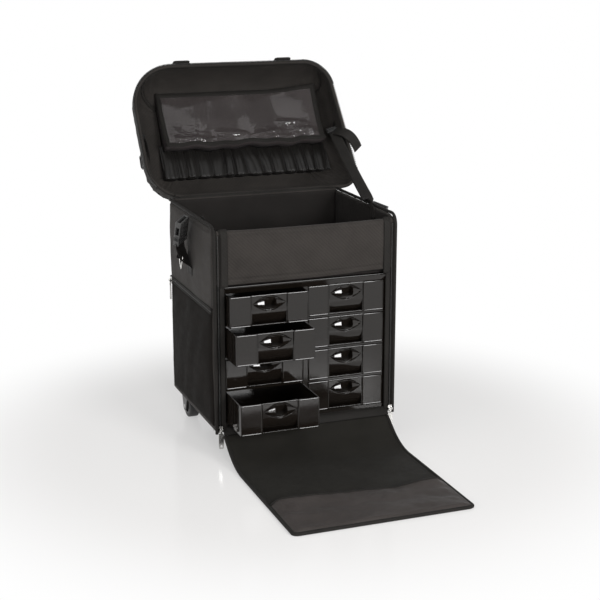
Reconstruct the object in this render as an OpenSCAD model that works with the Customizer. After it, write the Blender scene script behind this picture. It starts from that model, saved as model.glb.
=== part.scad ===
// Soft rolling beauty case on two wheels: lid tray, drawer cabinet and drop-down front flap.
// Millimetres, +X to the right, +Y to the back, +Z up. Each piece is drawn with y = 0 at the middle of the case's
// depth; set_down then brings the origin to the middle of the whole footprint, on the floor.
// The case is drawn in use: lid up, flap down on the floor, three drawers of the left column pulled out.

/* [Case] */
// Outer width over the side walls
case_w = 350; // [344:1:360]
// Outer depth from the front piping to the back wall
case_d = 285; // [282:1:290]
// Height of the rim above the floor
rim_z = 428; // [426:1:436]
// Height of the base board's underside above the floor
base_z = 48; // [47:0.5:49]
// Thickness of a padded wall
wall_t = 8; // [7:0.5:8]
// Thickness of the padded panel above the drawers
front_panel_t = 12; // [10:1:13]
// Radius of the side walls' front top corner
wall_corner_r = 22; // [14:1:30]
// Radius of the sewn piping
piping_r = 2.5; // [2:0.1:3]
// How far a side pocket stands off its wall
pocket_bulge = 10; // [6:1:11]

/* [Drawers] */
// Height from one drawer to the next
row_pitch = 60.5; // [60:0.1:61]
// Width of one drawer
drawer_w = 147.5; // [142:0.5:148]
// Depth of one drawer
drawer_d = 230; // [200:1:236]
// Height of one drawer
drawer_h = 56; // [52:0.5:56.5]
// How far the top left drawer stands open
top_open = 27; // [0:1:40]
// How far the second left drawer stands open
second_open = 60; // [0:1:80]
// How far the bottom left drawer stands open
bottom_open = 82; // [0:1:90]

/* [Lid] */
// How far the lid stands open
lid_angle = 118; // [110:1:120]
// Width of the open lid's rim at its widest
lid_rim_w = 448; // [420:1:456]
// Length of the lid from its hinge to its front rim
lid_len = 273; // [266:1:280]
// Depth of the lid tray
lid_depth = 85; // [80:1:90]
// Thickness of the lid's padded walls
lid_t = 5; // [4:0.5:6]

/* [Flap] */
// Width of the flap with its bound edge
flap_w = 322; // [310:1:324]
// Slope of the flap from its hinge down to the floor
flap_slope = 35; // [30:1:40]
// Distance from the flap's hinge to its free end
flap_reach = 356; // [320:1:362]
// Thickness of the padded flap
flap_t = 5; // [4:0.5:5]

/* [Wheels and handle] */
// Radius of a wheel
wheel_r = 22; // [20:0.5:22]
// Width of a wheel
wheel_w = 20; // [16:1:22]
// Distance from the middle of the case to a wheel
wheel_x = 150; // [140:1:152]
// Distance from the middle of the case back to the wheels
wheel_y = 100; // [90:1:110]
// Distance from the middle to a handle tube
tube_x = 68; // [60:1:70]

/* [Hidden] */
$fn = 48;

nylon = "#2b2928";
lining = "#4a4242";
webbing = "#232221";
plastic = "#141414";
metal = "#c8c6c2";

half_w = case_w / 2;
half_d = case_d / 2;
inner_w = half_w - wall_t;
front_y = -half_d;
bead = 2 * piping_r;
panel_front_y = front_y + 1;
panel_back_y = panel_front_y + front_panel_t;
panel_bottom_z = 322;
panel_top_z = 419;
floor_z = 317;
floor_t = 3;
board_t = 8;

cab_half_w = 162;
cab_front_y = -134;
cab_back_y = 118;
cab_bottom_z = base_z + board_t;
cab_top_z = floor_z - 1;
cab_panel_t = 3;
shelf_t = 3;
divider_t = 8;
rows = 4;
first_bay_z = 66;
bay_h = row_pitch - shelf_t;
bay_top_z = first_bay_z + rows * row_pitch - shelf_t;
bay_x0 = divider_t / 2;
bay_x1 = 153.5;
drawer_x = (bay_x0 + bay_x1) / 2;
drawer_front_y = cab_front_y - 1;
drawer_lift = 0.4;

lid_half_w = lid_rim_w / 2;
lid_gap = 0.5;
lid_top_inset = 38;
strap_t = 2.5;

hinge_y = front_y - 3.5;
hinge_z = base_z - 2;
apron_len = (hinge_z - flap_t) / sin(flap_slope);
fold_y = hinge_y - apron_len * cos(flap_slope);
binding_w = 3;
flap_half_w = flap_w / 2 - binding_w;
flap_end_y = hinge_y - flap_reach;

// Rearmost edge of the open lid, where its straps turn over the top.
lid_back_y = half_d - (lid_len - lid_top_inset + strap_t) * cos(lid_angle)
    + (lid_depth + strap_t) * sin(lid_angle);

zip_x = half_w - 9;
zip_y = front_y + bead - 1.5;
pocket_z0 = 60;
pocket_z1 = 268;
pocket_half_l = 130;
pocket_zip_z = 273;

function segment_r(chord, rise) = (chord * chord / 4 + rise * rise) / (2 * rise);

module set_down() translate([0, -(flap_end_y + lid_back_y) / 2, 0]) children();

module on_side(side) mirror([side < 0 ? 1 : 0, 0, 0]) children();

// A profile drawn in Y and Z becomes a solid that runs along X from x to x + length.
module along_x(x, length) translate([x, 0, 0]) rotate([90, 0, 90]) linear_extrude(length) children();

// A profile drawn in X and Z becomes a solid that runs along Y from y to y + length.
module along_y(y, length) translate([0, y + length, 0]) rotate([90, 0, 0]) linear_extrude(length) children();

module box(low, high) translate(low) cube(high - low);

// Case shell

module wall_profile() {
    y0 = front_y + bead;
    z1 = rim_z - bead;
    r = wall_corner_r - bead;
    difference() {
        translate([y0, base_z]) square([half_d - y0, z1 - base_z]);
        difference() {
            translate([y0 - 1, z1 - r]) square(r + 1);
            translate([y0 + r, z1 - r]) circle(r);
        }
    }
}

module side_wall(side) color(nylon) on_side(side) along_x(inner_w, wall_t) wall_profile();

module back_wall() color(nylon) box([-inner_w, half_d - wall_t, base_z], [inner_w, half_d, rim_z - 1]);

module base_board() color(nylon)
    box([-inner_w, front_y + bead, base_z], [inner_w, half_d - wall_t, base_z + board_t]);

// The padded panel above the drawers has a full round along its top edge.
module front_panel() color(nylon) along_x(-inner_w, 2 * inner_w) {
    round_r = front_panel_t / 2;
    translate([panel_front_y, panel_bottom_z]) square([front_panel_t, panel_top_z - round_r - panel_bottom_z]);
    translate([panel_front_y + round_r, panel_top_z - round_r]) circle(round_r);
}

module compartment_floor() color(lining)
    box([-inner_w, panel_back_y, floor_z], [inner_w, half_d - wall_t, floor_z + floor_t]);

// A round bead runs up each front edge, round the corner and back along the rim.
module edge_piping() color(webbing) for (side = [-1, 1]) on_side(side) {
    bend_r = wall_corner_r - piping_r;
    corner = [half_w - piping_r, front_y + wall_corner_r, rim_z - wall_corner_r];
    translate([corner.x, front_y + piping_r, base_z]) cylinder(r = piping_r, h = corner.z - base_z);
    translate(corner) rotate([90, 0, -90]) rotate_extrude(angle = 90) translate([bend_r, 0]) circle(piping_r);
    translate([corner.x, corner.y, rim_z - piping_r]) rotate([-90, 0, 0])
        cylinder(r = piping_r, h = half_d - corner.y);
}

// Zip tape on each side wall's front edge, with its row of teeth as a raised bar.
module front_zip_tracks() color(webbing) for (side = [-1, 1]) on_side(side) {
    tape_z0 = base_z + 2;
    tape_z1 = panel_bottom_z - 2;
    box([half_w - 18, zip_y, tape_z0], [half_w - bead, zip_y + 1.5, tape_z1]);
    box([zip_x - 2, zip_y - 1.2, tape_z0], [zip_x + 2, zip_y, tape_z1]);
}

// Flat patch pocket that swells between its seams, both along and across.
module side_pockets() color(nylon) for (side = [-1, 1]) on_side(side) {
    h = pocket_z1 - pocket_z0;
    r_long = segment_r(2 * pocket_half_l, pocket_bulge);
    r_high = segment_r(h, pocket_bulge);
    intersection() {
        box([half_w, -pocket_half_l, pocket_z0], [half_w + pocket_bulge, pocket_half_l, pocket_z1]);
        translate([half_w + pocket_bulge - r_long, 0, 0]) cylinder(r = r_long, h = rim_z, $fn = 480);
        translate([half_w + pocket_bulge - r_high, half_d, pocket_z0 + h / 2]) rotate([90, 0, 0])
            cylinder(r = r_high, h = case_d, $fn = 480);
    }
}

module pocket_zip_tracks() color(webbing) for (side = [-1, 1]) on_side(side) {
    box([half_w, -pocket_half_l, pocket_zip_z - 4.5], [half_w + 1.2, pocket_half_l + 6, pocket_zip_z + 4.5]);
    box([half_w + 1.2, -pocket_half_l, pocket_zip_z - 1.5], [half_w + 2.4, pocket_half_l + 6, pocket_zip_z + 1.5]);
}

// Drawer cabinet

// Flat panels of the cabinet: top and base, the sides between them, and the back between the sides.
module cabinet_frame() color(plastic) {
    seam = 0.05;
    box([-cab_half_w, cab_front_y, bay_top_z], [cab_half_w, cab_back_y, cab_top_z]);
    box([-cab_half_w, cab_front_y, cab_bottom_z], [cab_half_w, cab_back_y, first_bay_z]);
    for (side = [-1, 1]) on_side(side)
        box([bay_x1, cab_front_y, first_bay_z + seam], [cab_half_w, cab_back_y, bay_top_z - seam]);
    box([seam - bay_x1, cab_back_y - cab_panel_t, first_bay_z + seam],
        [bay_x1 - seam, cab_back_y, bay_top_z - seam]);
}

module cabinet_divider() color(plastic)
    box([-bay_x0, cab_front_y, first_bay_z], [bay_x0, cab_back_y - cab_panel_t, bay_top_z]);

module cabinet_shelves() color(plastic) for (side = [-1, 1], row = [1 : rows - 1]) on_side(side) {
    z = first_bay_z + row * row_pitch;
    box([bay_x0, cab_front_y, z - shelf_t], [bay_x1, cab_back_y - cab_panel_t, z]);
}

// Drawers

// Eye-shaped outline of a drawer's pull, from two arcs.
module lens(width, height) {
    r = segment_r(width, height / 2);
    intersection() {
        translate([0, r - height / 2]) circle(r);
        translate([0, height / 2 - r]) circle(r);
    }
}

// One moulding: open box, notch under the pull, and a domed lens with a finger scoop in its middle.
// It is drawn with its front face at y = 0 and its floor at z = 0.
module drawer_form() {
    t = 2;
    notch = [66, 10, 27];
    pull_w = 62;
    pull_h = 21;
    pull_z = 39.5;
    pull_rise = 7;
    dome_r = segment_r(pull_w + 10, pull_rise);
    scoop_w = 29;
    scoop_r = 8.5;
    half = drawer_w / 2;
    difference() {
        union() {
            difference() {
                box([-half, 0, 0], [half, drawer_d, drawer_h]);
                difference() {
                    box([t - half, t, t], [half - t, drawer_d - t, drawer_h + 1]);
                    box([-notch.x / 2 - t, 0, 0], [notch.x / 2 + t, notch.y + t, notch.z + t]);
                    box([-scoop_w / 2 - t, 0, 0], [scoop_w / 2 + t, notch.y + t, drawer_h - t]);
                }
            }
            intersection() {
                translate([0, 1, pull_z]) rotate([90, 0, 0]) linear_extrude(pull_rise + 1) lens(pull_w, pull_h);
                translate([0, dome_r - pull_rise, 0]) cylinder(r = dome_r, h = drawer_h, $fn = 96);
            }
        }
        box([-notch.x / 2, -1, -1], [notch.x / 2, notch.y, notch.z]);
        translate([-scoop_w / 2, -1, pull_z + 5]) rotate([0, 90, 0]) cylinder(r = scoop_r, h = scoop_w);
    }
}

// Rows are counted from the top.
module drawer(side, row, open) color(plastic) translate([
    side * drawer_x,
    drawer_front_y - open,
    first_bay_z + (rows - row) * row_pitch + drawer_lift,
]) drawer_form();

// Wheels and feet

module wheel_axis(side) translate([side * wheel_x, wheel_y, wheel_r]) rotate([0, 90, 0]) children();

axle_r = 4;
hub_r = 15;
cheek_t = 3;
cheek_gap = 1.5;

// Two cheeks hang from a top plate and hold the axle between them.
module wheel_brackets() color(plastic) for (side = [-1, 1]) {
    x0 = wheel_w / 2 + cheek_gap;
    top_t = 2;
    translate([side * wheel_x, wheel_y, 0]) {
        box([-x0 - cheek_t, -20, base_z - top_t], [x0 + cheek_t, 20, base_z]);
        for (x = [-x0 - cheek_t, x0]) along_x(x, cheek_t) difference() {
            union() {
                translate([0, wheel_r]) circle(9);
                polygon([[-9, wheel_r], [9, wheel_r], [18, base_z - top_t], [-18, base_z - top_t]]);
            }
            translate([0, wheel_r]) circle(axle_r + 0.02);
        }
    }
}

module wheel_axles() color(metal) for (side = [-1, 1]) wheel_axis(side) {
    half = wheel_w / 2 + cheek_gap + cheek_t;
    translate([0, 0, -half]) cylinder(r = axle_r, h = 2 * half);
}

// The hub is dished on both faces, with a boss round its bore.
module wheel_hub(side) color("#3a3a3c") wheel_axis(side) rotate_extrude() {
    half = wheel_w / 2;
    polygon([
        [axle_r + 0.05, -half - 1], [7, -half - 1], [7, -half + 3], [12, -half + 3], [12, -half], [hub_r, -half],
        [hub_r, half], [12, half], [12, half - 3], [7, half - 3], [7, half + 1], [axle_r + 0.05, half + 1],
    ]);
}

// Soft tread with rounded shoulders on the hub's rim.
module wheel_tyre(side) color("#4a4a4c") wheel_axis(side) rotate_extrude() {
    half = wheel_w / 2;
    shoulder = 3;
    translate([hub_r, -half]) square([wheel_r - hub_r - shoulder, wheel_w]);
    translate([hub_r, shoulder - half]) square([wheel_r - hub_r, wheel_w - 2 * shoulder]);
    for (y = [-1, 1]) translate([wheel_r - shoulder, y * (half - shoulder)]) circle(shoulder);
}

// Turned feet level the case with its wheels.
module front_feet() color(plastic) for (x = [-130, 130]) translate([x, front_y + 32, 0]) rotate_extrude()
    polygon([[0, 0], [12, 0], [13.5, 2], [13.5, 7], [10, 11], [10, base_z - 8], [17, base_z - 5], [17, base_z],
        [0, base_z]]);

// Telescopic handle behind the back wall

sleeve_r = 8;
tube_r = 6.45;
tube_y = half_d + 4.5 + sleeve_r;
sleeve_z0 = 72;
yoke_z = 322;
grip_z0 = 344;
grip_h = 24;
grip_t = 16;

module at_tubes() for (side = [-1, 1]) translate([side * tube_x, tube_y, 0]) children();

// Plate screwed to the back wall, with a foot under the sleeves and a yoke round their tops.
module handle_backplate() color(plastic) {
    plate_y = tube_y - sleeve_r;
    edge = tube_x + 18;
    box([-edge, half_d, 62], [edge, plate_y, yoke_z]);
    difference() {
        union() {
            box([-edge, plate_y, 62], [edge, plate_y + 2 * sleeve_r + 3, sleeve_z0]);
            box([-edge, plate_y, yoke_z - 22], [edge, plate_y + 2 * sleeve_r + 3, yoke_z]);
        }
        at_tubes() translate([0, 0, sleeve_z0]) cylinder(r = sleeve_r + 0.02, h = rim_z);
    }
}

module handle_sleeves() color(metal) at_tubes() translate([0, 0, sleeve_z0]) difference() {
    cylinder(r = sleeve_r, h = yoke_z - sleeve_z0);
    translate([0, 0, -1]) cylinder(r = tube_r + 0.05, h = rim_z);
}

module handle_tubes() color(metal) at_tubes() translate([0, 0, sleeve_z0 + 28])
    cylinder(r = tube_r, h = grip_z0 - sleeve_z0 - 28);

button_w = 36;
button_t = 8;

// Bar with round ends on the two tubes, with a well for the release button in its top.
module handle_grip() color(plastic) translate([0, tube_y - grip_t / 2, grip_z0]) difference() {
    r = grip_h / 2;
    reach = tube_x + 8;
    union() {
        box([-reach, 0, 0], [reach, grip_t, grip_h]);
        for (x = [-reach, reach]) translate([x, grip_t, r]) rotate([90, 0, 0]) cylinder(r = r, h = grip_t);
    }
    box([-button_w / 2, grip_t / 2 - button_t / 2, grip_h - 11], [button_w / 2, grip_t / 2 + button_t / 2, grip_h + 1]);
}

module handle_button() color("#3a3a3c") translate([0, tube_y, grip_z0 + grip_h]) {
    w = button_w / 2 - 0.3;
    t = button_t / 2 - 0.3;
    box([-w, -t, -7], [w, t, 2.5]);
}

// Buckles and rings on the side walls

buckle_foot = [194, 374];
buckle_lean = 15.6;
ring_pin = [193, 349];
ring_t = 2.2;
keeper_bore_r = 1.65;

// Sewn to the wall at its lower end, the webbing stands out to the buckle and carries a keeper for the ring.
module strap_anchors() color(webbing) for (side = [-1, 1]) on_side(side) {
    x0 = half_w;
    difference() {
        union() {
            along_y(-12.5, 25) polygon([
                [x0, 312], [x0, 328], [187.5, 347], [193, 366], [193, 373.5],
                [195, 373.5], [195, 365.5], [189.2, 346], [x0 + 2, 327.5], [x0 + 2, 312],
            ]);
            translate([ring_pin.x, 10, ring_pin.y]) rotate([90, 0, 0]) cylinder(r = 3.4, h = 20);
        }
        translate([ring_pin.x, 11, ring_pin.y]) rotate([90, 0, 0]) cylinder(r = keeper_bore_r, h = 22);
    }
}

// Socket half of a side-release buckle: a flat case with its mouth at the top and a window in each edge.
module buckle_sockets() color(plastic) for (side = [-1, 1]) on_side(side)
    translate([buckle_foot.x, 0, buckle_foot.y]) rotate([0, -buckle_lean, 0]) difference() {
        box([-5.5, -16, 0], [5.5, 16, 50]);
        box([-3, -12, 18], [3, 12, 51]);
        for (y = [-17, 12]) box([-3, y, 22], [3, y + 5, 38]);
        box([-6, -13, 4], [6, 13, 8]);
    }

// Flat triangular ring that hangs from its keeper.
module ring(side) color(metal) on_side(side) translate([ring_pin.x, 0, ring_pin.y]) along_x(-ring_t / 2, ring_t)
    difference() {
        polygon([[-14.6, 1.1], [14.6, 1.1], [15.4, 0.1], [1, -25.6], [-1, -25.6], [-15.4, 0.1]]);
        polygon([[-12, -1.1], [12, -1.1], [0, -22.5]]);
    }

// Lid, drawn shut: its hinge line is at y = 0 and z = 0, and it reaches forwards along -Y.

module lid_place() translate([0, half_d, rim_z]) rotate([-lid_angle, 0, 0]) children();

// Soft outline of the lid, smaller by inset all round.
module lid_outline(inset) {
    hinge_r = 72;
    front_r = 86;
    belly = 6;
    hull() for (side = [-1, 1]) {
        translate([side * (lid_half_w - belly - hinge_r), -hinge_r]) circle(hinge_r - inset, $fn = 32);
        translate([side * (lid_half_w - front_r), front_r - lid_len]) circle(front_r - inset, $fn = 32);
    }
}

// Dome of the lid: the rim is widest, and the top edge is rounded off.
module lid_form(inset, low, high) {
    rounding = [[0, 0], [0.6, 9], [0.9, 24], [1, lid_top_inset]];
    hull() for (step = rounding)
        translate([0, 0, low + step[0] * (high - low) - 0.1]) linear_extrude(0.1) lid_outline(inset + step[1]);
}

module lid_outer() lid_form(0, lid_gap + 0.1, lid_depth);
module lid_hollow() lid_form(lid_t, -0.5, lid_depth - lid_t);

module lid_shell() color(nylon) lid_place() difference() {
    lid_outer();
    lid_hollow();
}

// Zip tape round three sides of the rim.
module lid_rim_zip() color(webbing) lid_place() difference() {
    intersection() {
        translate([0, 0, lid_gap]) linear_extrude(6) lid_outline(-1.5);
        translate([-lid_half_w - 5, -lid_len - 5, 0]) cube([lid_rim_w + 10, lid_len - 15, 20]);
    }
    translate([0, 0, -1]) linear_extrude(20) lid_outline(0);
}

pocket_x = 10;
pocket_half_w = 166;
pocket_u0 = 112;
pocket_u1 = 236;
pocket_w0 = 56;
pocket_w1 = 72;
lid_floor = lid_depth - lid_t - 0.2;
binding_in = 9;

// Pouch on the lid's inside: sewn flat along its upper edge, standing off along its lower one.
module lid_pocket() color(lining) lid_place() intersection() {
    along_x(pocket_x - pocket_half_w, 2 * pocket_half_w) polygon([
        [-pocket_u0, pocket_w0], [-pocket_u0, lid_floor], [-pocket_u1, lid_floor], [-pocket_u1, pocket_w1],
    ]);
    lid_form(lid_t + 0.3, -0.5, lid_depth - lid_t - 0.2);
}

// Clear window on the pouch, inside its binding.
module lid_window() color("#8a8a8e") lid_place() along_x(pocket_x - pocket_half_w + binding_in,
    2 * (pocket_half_w - binding_in)) {
    slope = (pocket_w1 - pocket_w0) / (pocket_u1 - pocket_u0);
    u0 = pocket_u0 + binding_in;
    u1 = pocket_u1 - binding_in;
    w0 = pocket_w0 + slope * binding_in;
    w1 = pocket_w1 - slope * binding_in;
    polygon([[-u0, w0 - 0.05], [-u1, w1 - 0.05], [-u1, w1 - 0.85], [-u0, w0 - 0.85]]);
}

loop_count = 13;
loops_u0 = 46;

// Gathered strip of brush loops: a row of round swells on a flat backing.
module brush_loops() color(webbing) lid_place() intersection() {
    pitch = 2 * pocket_half_w / loop_count;
    along_y(0.5 - pocket_u0, pocket_u0 - loops_u0 - 0.5) intersection() {
        translate([pocket_x - pocket_half_w, lid_floor - 12]) square([2 * pocket_half_w, 12]);
        union() {
            translate([pocket_x - pocket_half_w, lid_floor - 3]) square([2 * pocket_half_w, 3]);
            for (i = [0 : loop_count - 1])
                translate([pocket_x - pocket_half_w + (i + 0.5) * pitch, lid_floor + 2]) circle(pitch / 2 - 0.3);
        }
    }
    lid_form(lid_t + 0.3, -0.5, lid_depth - lid_t - 0.2);
}

strap_x = 106;
strap_w = 32;

// Webbing sewn over the lid from front to back, with a stiff tab at each front end.
module lid_straps() color(webbing) lid_place() {
    difference() {
        intersection() {
            lid_form(-strap_t, lid_gap + 10, lid_depth + strap_t);
            for (x = [-strap_x, strap_x])
                translate([x - strap_w / 2, -lid_len - 10, lid_gap + 10]) cube([strap_w, lid_len - 20, lid_depth + 10]);
        }
        lid_outer();
    }
    for (x = [-strap_x, strap_x]) translate([x - strap_w / 2, -lid_len - 7.5, lid_gap + 1]) cube([strap_w, 6, 22]);
}

// Padded grab handle, bowed up between the two straps.
module carry_handle() color(webbing) lid_place() {
    chord = 2 * strap_x;
    rise = 26;
    thick = 5;
    r = segment_r(chord, rise);
    w0 = lid_depth + strap_t;
    along_y(-lid_len / 2 - 15, 30) intersection() {
        difference() {
            translate([0, w0 + rise - r]) circle(r, $fn = 96);
            translate([0, w0 + rise - r]) circle(r - thick, $fn = 96);
        }
        translate([-chord, w0]) square([2 * chord, 2 * rise]);
    }
}

plug_u = 90;

// Plug halves of the side buckles, on tabs that follow the lid's side walls.
module buckle_plugs() color(plastic) lid_place() difference() {
    intersection() {
        lid_form(-7, lid_gap, lid_depth + 7);
        for (side = [-1, 1]) on_side(side)
            translate([lid_half_w / 2, -plug_u - 14, lid_gap + 12]) cube([lid_half_w, 28, 40]);
    }
    lid_outer();
}

stay_foot = [inner_w - 4, -52, rim_z - 2];
stay_head = [lid_half_w - 25, 128, 30];
stay_w = 20;
stay_t = 1.6;

// Where the stay meets the lid, with the lid open.
stay_top = [
    stay_head.x,
    half_d - stay_head.y * cos(lid_angle) + stay_head.z * sin(lid_angle),
    rim_z + stay_head.y * sin(lid_angle) + stay_head.z * cos(lid_angle),
];
stay_line = stay_top - stay_foot;
stay_len = norm(stay_line);

module along_stay(side) on_side(side) translate(stay_foot)
    rotate([0, acos(stay_line.z / stay_len), atan2(stay_line.y, stay_line.x)]) children();

// Taut webbing from a tab on the side wall to the lid's side.
module stay(side) color(webbing) {
    along_stay(side) box([-stay_w / 2, -stay_t / 2, 0], [stay_w / 2, stay_t / 2, stay_len]);
    on_side(side) box([stay_foot.x, stay_foot.y - stay_w / 2, rim_z - 24], [inner_w, stay_foot.y + stay_w / 2, rim_z - 6]);
}

// Ladder lock at the head of each stay, on a short tab that reaches out to the lid's side wall.
module ladder_locks() color(plastic) for (side = [-1, 1]) along_stay(side) translate([0, 0, stay_len + 0.2]) {
    difference() {
        box([-13, -2.5, 0], [13, 2.5, 16]);
        for (z = [2.5, 8]) box([-10, -3, z], [10, 3, z + 3]);
    }
    box([-9, -7, 12], [9, -1, 15]);
}

// Front flap

// The stretch from the hinge down to the floor. Its upper face holds the hinge line.
module flap_apron() color(nylon) translate([0, hinge_y, hinge_z]) rotate([flap_slope, 0, 0])
    box([-flap_w / 2, 0.3 - apron_len, -flap_t], [flap_w / 2, 0, 0]);

module flap_panel() color(nylon)
    box([-flap_half_w, flap_end_y + binding_w, 0], [flap_half_w, fold_y - 0.3, flap_t]);

// Bound edge along both sides and the free end.
module flap_binding() color(webbing) difference() {
    box([-flap_w / 2, flap_end_y, 0], [flap_w / 2, fold_y - 0.3, flap_t + 0.8]);
    box([-flap_half_w, flap_end_y + binding_w, -1], [flap_half_w, 0, flap_t + 2]);
}

// Shallow pouch across the free end.
module flap_pocket() color(lining)
    box([-flap_half_w, flap_end_y + binding_w, flap_t], [flap_half_w, flap_end_y + 116, flap_t + 2]);

// Zip sliders with their pulls

slider_l = 12;
pull_len = 38;
pull_t = 1.6;
pin_r = 0.9;
eye_r = 1.6;
lug_gap = 2.1;
slider_half_w = 3.5;
pin_out = 4.4;

// Slider shoe on its back face at y = 0, with two lugs in front that hold the pull's pin across it.
module slider() {
    lug_h = 4;
    box([-slider_half_w, -2.6, -slider_l / 2], [slider_half_w, 0, slider_l / 2]);
    for (side = [-1, 1]) on_side(side)
        box([lug_gap, -pin_out - lug_h / 2, -lug_h / 2], [slider_half_w, -2.6, lug_h / 2]);
    translate([-slider_half_w, -pin_out, 0]) rotate([0, 90, 0]) cylinder(r = pin_r, h = 2 * slider_half_w);
}

// Flat pull with an eye on the pin and a hole at its free end. It hangs along -Z from the pin.
module pull() translate([0, -pin_out, 0]) difference() {
    eye_w = lug_gap - 0.2;
    blade_w = 3.2;
    union() {
        translate([-eye_w, 0, 0]) rotate([0, 90, 0]) cylinder(r = eye_r, h = 2 * eye_w);
        translate([0, pull_t / 2, 0]) rotate([90, 0, 0]) linear_extrude(pull_t) {
            translate([-eye_w, -4]) square([2 * eye_w, 4]);
            translate([-blade_w, blade_w - pull_len]) square([2 * blade_w, pull_len - blade_w - 3.5]);
            translate([0, blade_w - pull_len]) circle(blade_w);
        }
    }
    translate([-eye_w - 1, 0, 0]) rotate([0, 90, 0]) cylinder(r = pin_r + 0.08, h = 2 * eye_w + 2);
    translate([0, pull_t, blade_w - pull_len]) rotate([90, 0, 0]) cylinder(r = 1.5, h = 2 * pull_t);
    translate([0, pull_t, -7.5]) rotate([90, 0, 0]) cylinder(r = 1.8, h = 2 * pull_t);
}

// Bottom end of a front zip, where its slider stands with the flap open.
module on_front_zip(side) translate([side * zip_x, zip_y - 1.4, base_z + 9]) children();

// Back end of a pocket zip.
module on_pocket_zip(side) on_side(side)
    translate([half_w + 2.6, pocket_half_l - 10, pocket_zip_z]) rotate([0, 0, 90]) children();

module flap_slider(side) color(metal) on_front_zip(side) slider();
module flap_pull(side) color(metal) on_front_zip(side) pull();
module pocket_slider(side) color(metal) on_pocket_zip(side) slider();
module pocket_pull(side) color(metal) on_pocket_zip(side) pull();

set_down() side_wall(-1);  // side_wall_left
set_down() side_wall(1);  // side_wall_right
set_down() back_wall();
set_down() base_board();
set_down() front_panel();
set_down() compartment_floor();
set_down() edge_piping();
set_down() front_zip_tracks();
set_down() side_pockets();
set_down() pocket_zip_tracks();
set_down() cabinet_frame();
set_down() cabinet_divider();
set_down() cabinet_shelves();
set_down() drawer(-1, 1, top_open);  // drawer_left_1
set_down() drawer(-1, 2, second_open);  // drawer_left_2
set_down() drawer(-1, 3, 0);  // drawer_left_3
set_down() drawer(-1, 4, bottom_open);  // drawer_left_4
set_down() drawer(1, 1, 0);  // drawer_right_1
set_down() drawer(1, 2, 0);  // drawer_right_2
set_down() drawer(1, 3, 0);  // drawer_right_3
set_down() drawer(1, 4, 0);  // drawer_right_4
set_down() wheel_brackets();
set_down() wheel_axles();
set_down() wheel_hub(-1);  // wheel_hub_left
set_down() wheel_hub(1);  // wheel_hub_right
set_down() wheel_tyre(-1);  // wheel_tyre_left
set_down() wheel_tyre(1);  // wheel_tyre_right
set_down() front_feet();
set_down() handle_backplate();
set_down() handle_sleeves();
set_down() handle_tubes();
set_down() handle_grip();
set_down() handle_button();
set_down() strap_anchors();
set_down() buckle_sockets();
set_down() ring(-1);  // ring_left
set_down() ring(1);  // ring_right
set_down() lid_shell();
set_down() lid_rim_zip();
set_down() lid_pocket();
set_down() lid_window();
set_down() brush_loops();
set_down() lid_straps();
set_down() carry_handle();
set_down() buckle_plugs();
set_down() ladder_locks();
set_down() stay(-1);  // stay_left
set_down() stay(1);  // stay_right
set_down() flap_apron();
set_down() flap_panel();
set_down() flap_pocket();
set_down() flap_binding();
set_down() flap_slider(-1);  // flap_slider_left
set_down() flap_slider(1);  // flap_slider_right
set_down() flap_pull(-1);  // flap_pull_left
set_down() flap_pull(1);  // flap_pull_right
set_down() pocket_slider(-1);  // pocket_slider_left
set_down() pocket_slider(1);  // pocket_slider_right
set_down() pocket_pull(-1);  // pocket_pull_left
set_down() pocket_pull(1);  // pocket_pull_right
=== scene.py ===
# Soft rolling beauty case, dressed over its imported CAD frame. Metres, in the frame's own axes:
# +X to the right, +Y from the flap to the back wall, +Z up, floor at z = 0.
import math

import bmesh
import bpy
from mathutils import Matrix, Vector, noise


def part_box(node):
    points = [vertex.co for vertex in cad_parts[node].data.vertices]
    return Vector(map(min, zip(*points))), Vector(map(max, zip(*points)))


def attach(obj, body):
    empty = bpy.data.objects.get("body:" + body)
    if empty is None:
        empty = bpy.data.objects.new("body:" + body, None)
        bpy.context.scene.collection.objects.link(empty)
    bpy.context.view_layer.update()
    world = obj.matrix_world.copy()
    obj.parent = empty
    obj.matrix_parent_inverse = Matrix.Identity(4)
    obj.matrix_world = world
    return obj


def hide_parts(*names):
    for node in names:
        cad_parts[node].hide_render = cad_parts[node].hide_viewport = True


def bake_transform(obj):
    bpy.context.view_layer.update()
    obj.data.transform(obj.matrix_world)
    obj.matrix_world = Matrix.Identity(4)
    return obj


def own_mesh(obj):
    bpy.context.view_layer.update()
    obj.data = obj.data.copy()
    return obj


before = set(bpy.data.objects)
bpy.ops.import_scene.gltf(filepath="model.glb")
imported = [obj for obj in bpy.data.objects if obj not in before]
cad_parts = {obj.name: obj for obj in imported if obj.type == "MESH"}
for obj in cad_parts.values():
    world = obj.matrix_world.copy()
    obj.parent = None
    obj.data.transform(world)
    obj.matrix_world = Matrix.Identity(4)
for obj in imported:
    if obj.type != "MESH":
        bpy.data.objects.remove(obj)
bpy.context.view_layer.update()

# Pieces are laid out about the middle of the case's own depth, and set down where the frame's walls stand.
wall_back_y = 0.1425
case_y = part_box("side_wall_left")[1][1] - wall_back_y

# Studio: a white sweep of floor and walls under a dimmer ceiling, two low lamps at the front, weak ones
# overhead and on the left, and the camera where the photographer stood, slightly above the case, to its left.
scene = bpy.context.scene
scene.view_settings.view_transform = "Standard"


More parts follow.
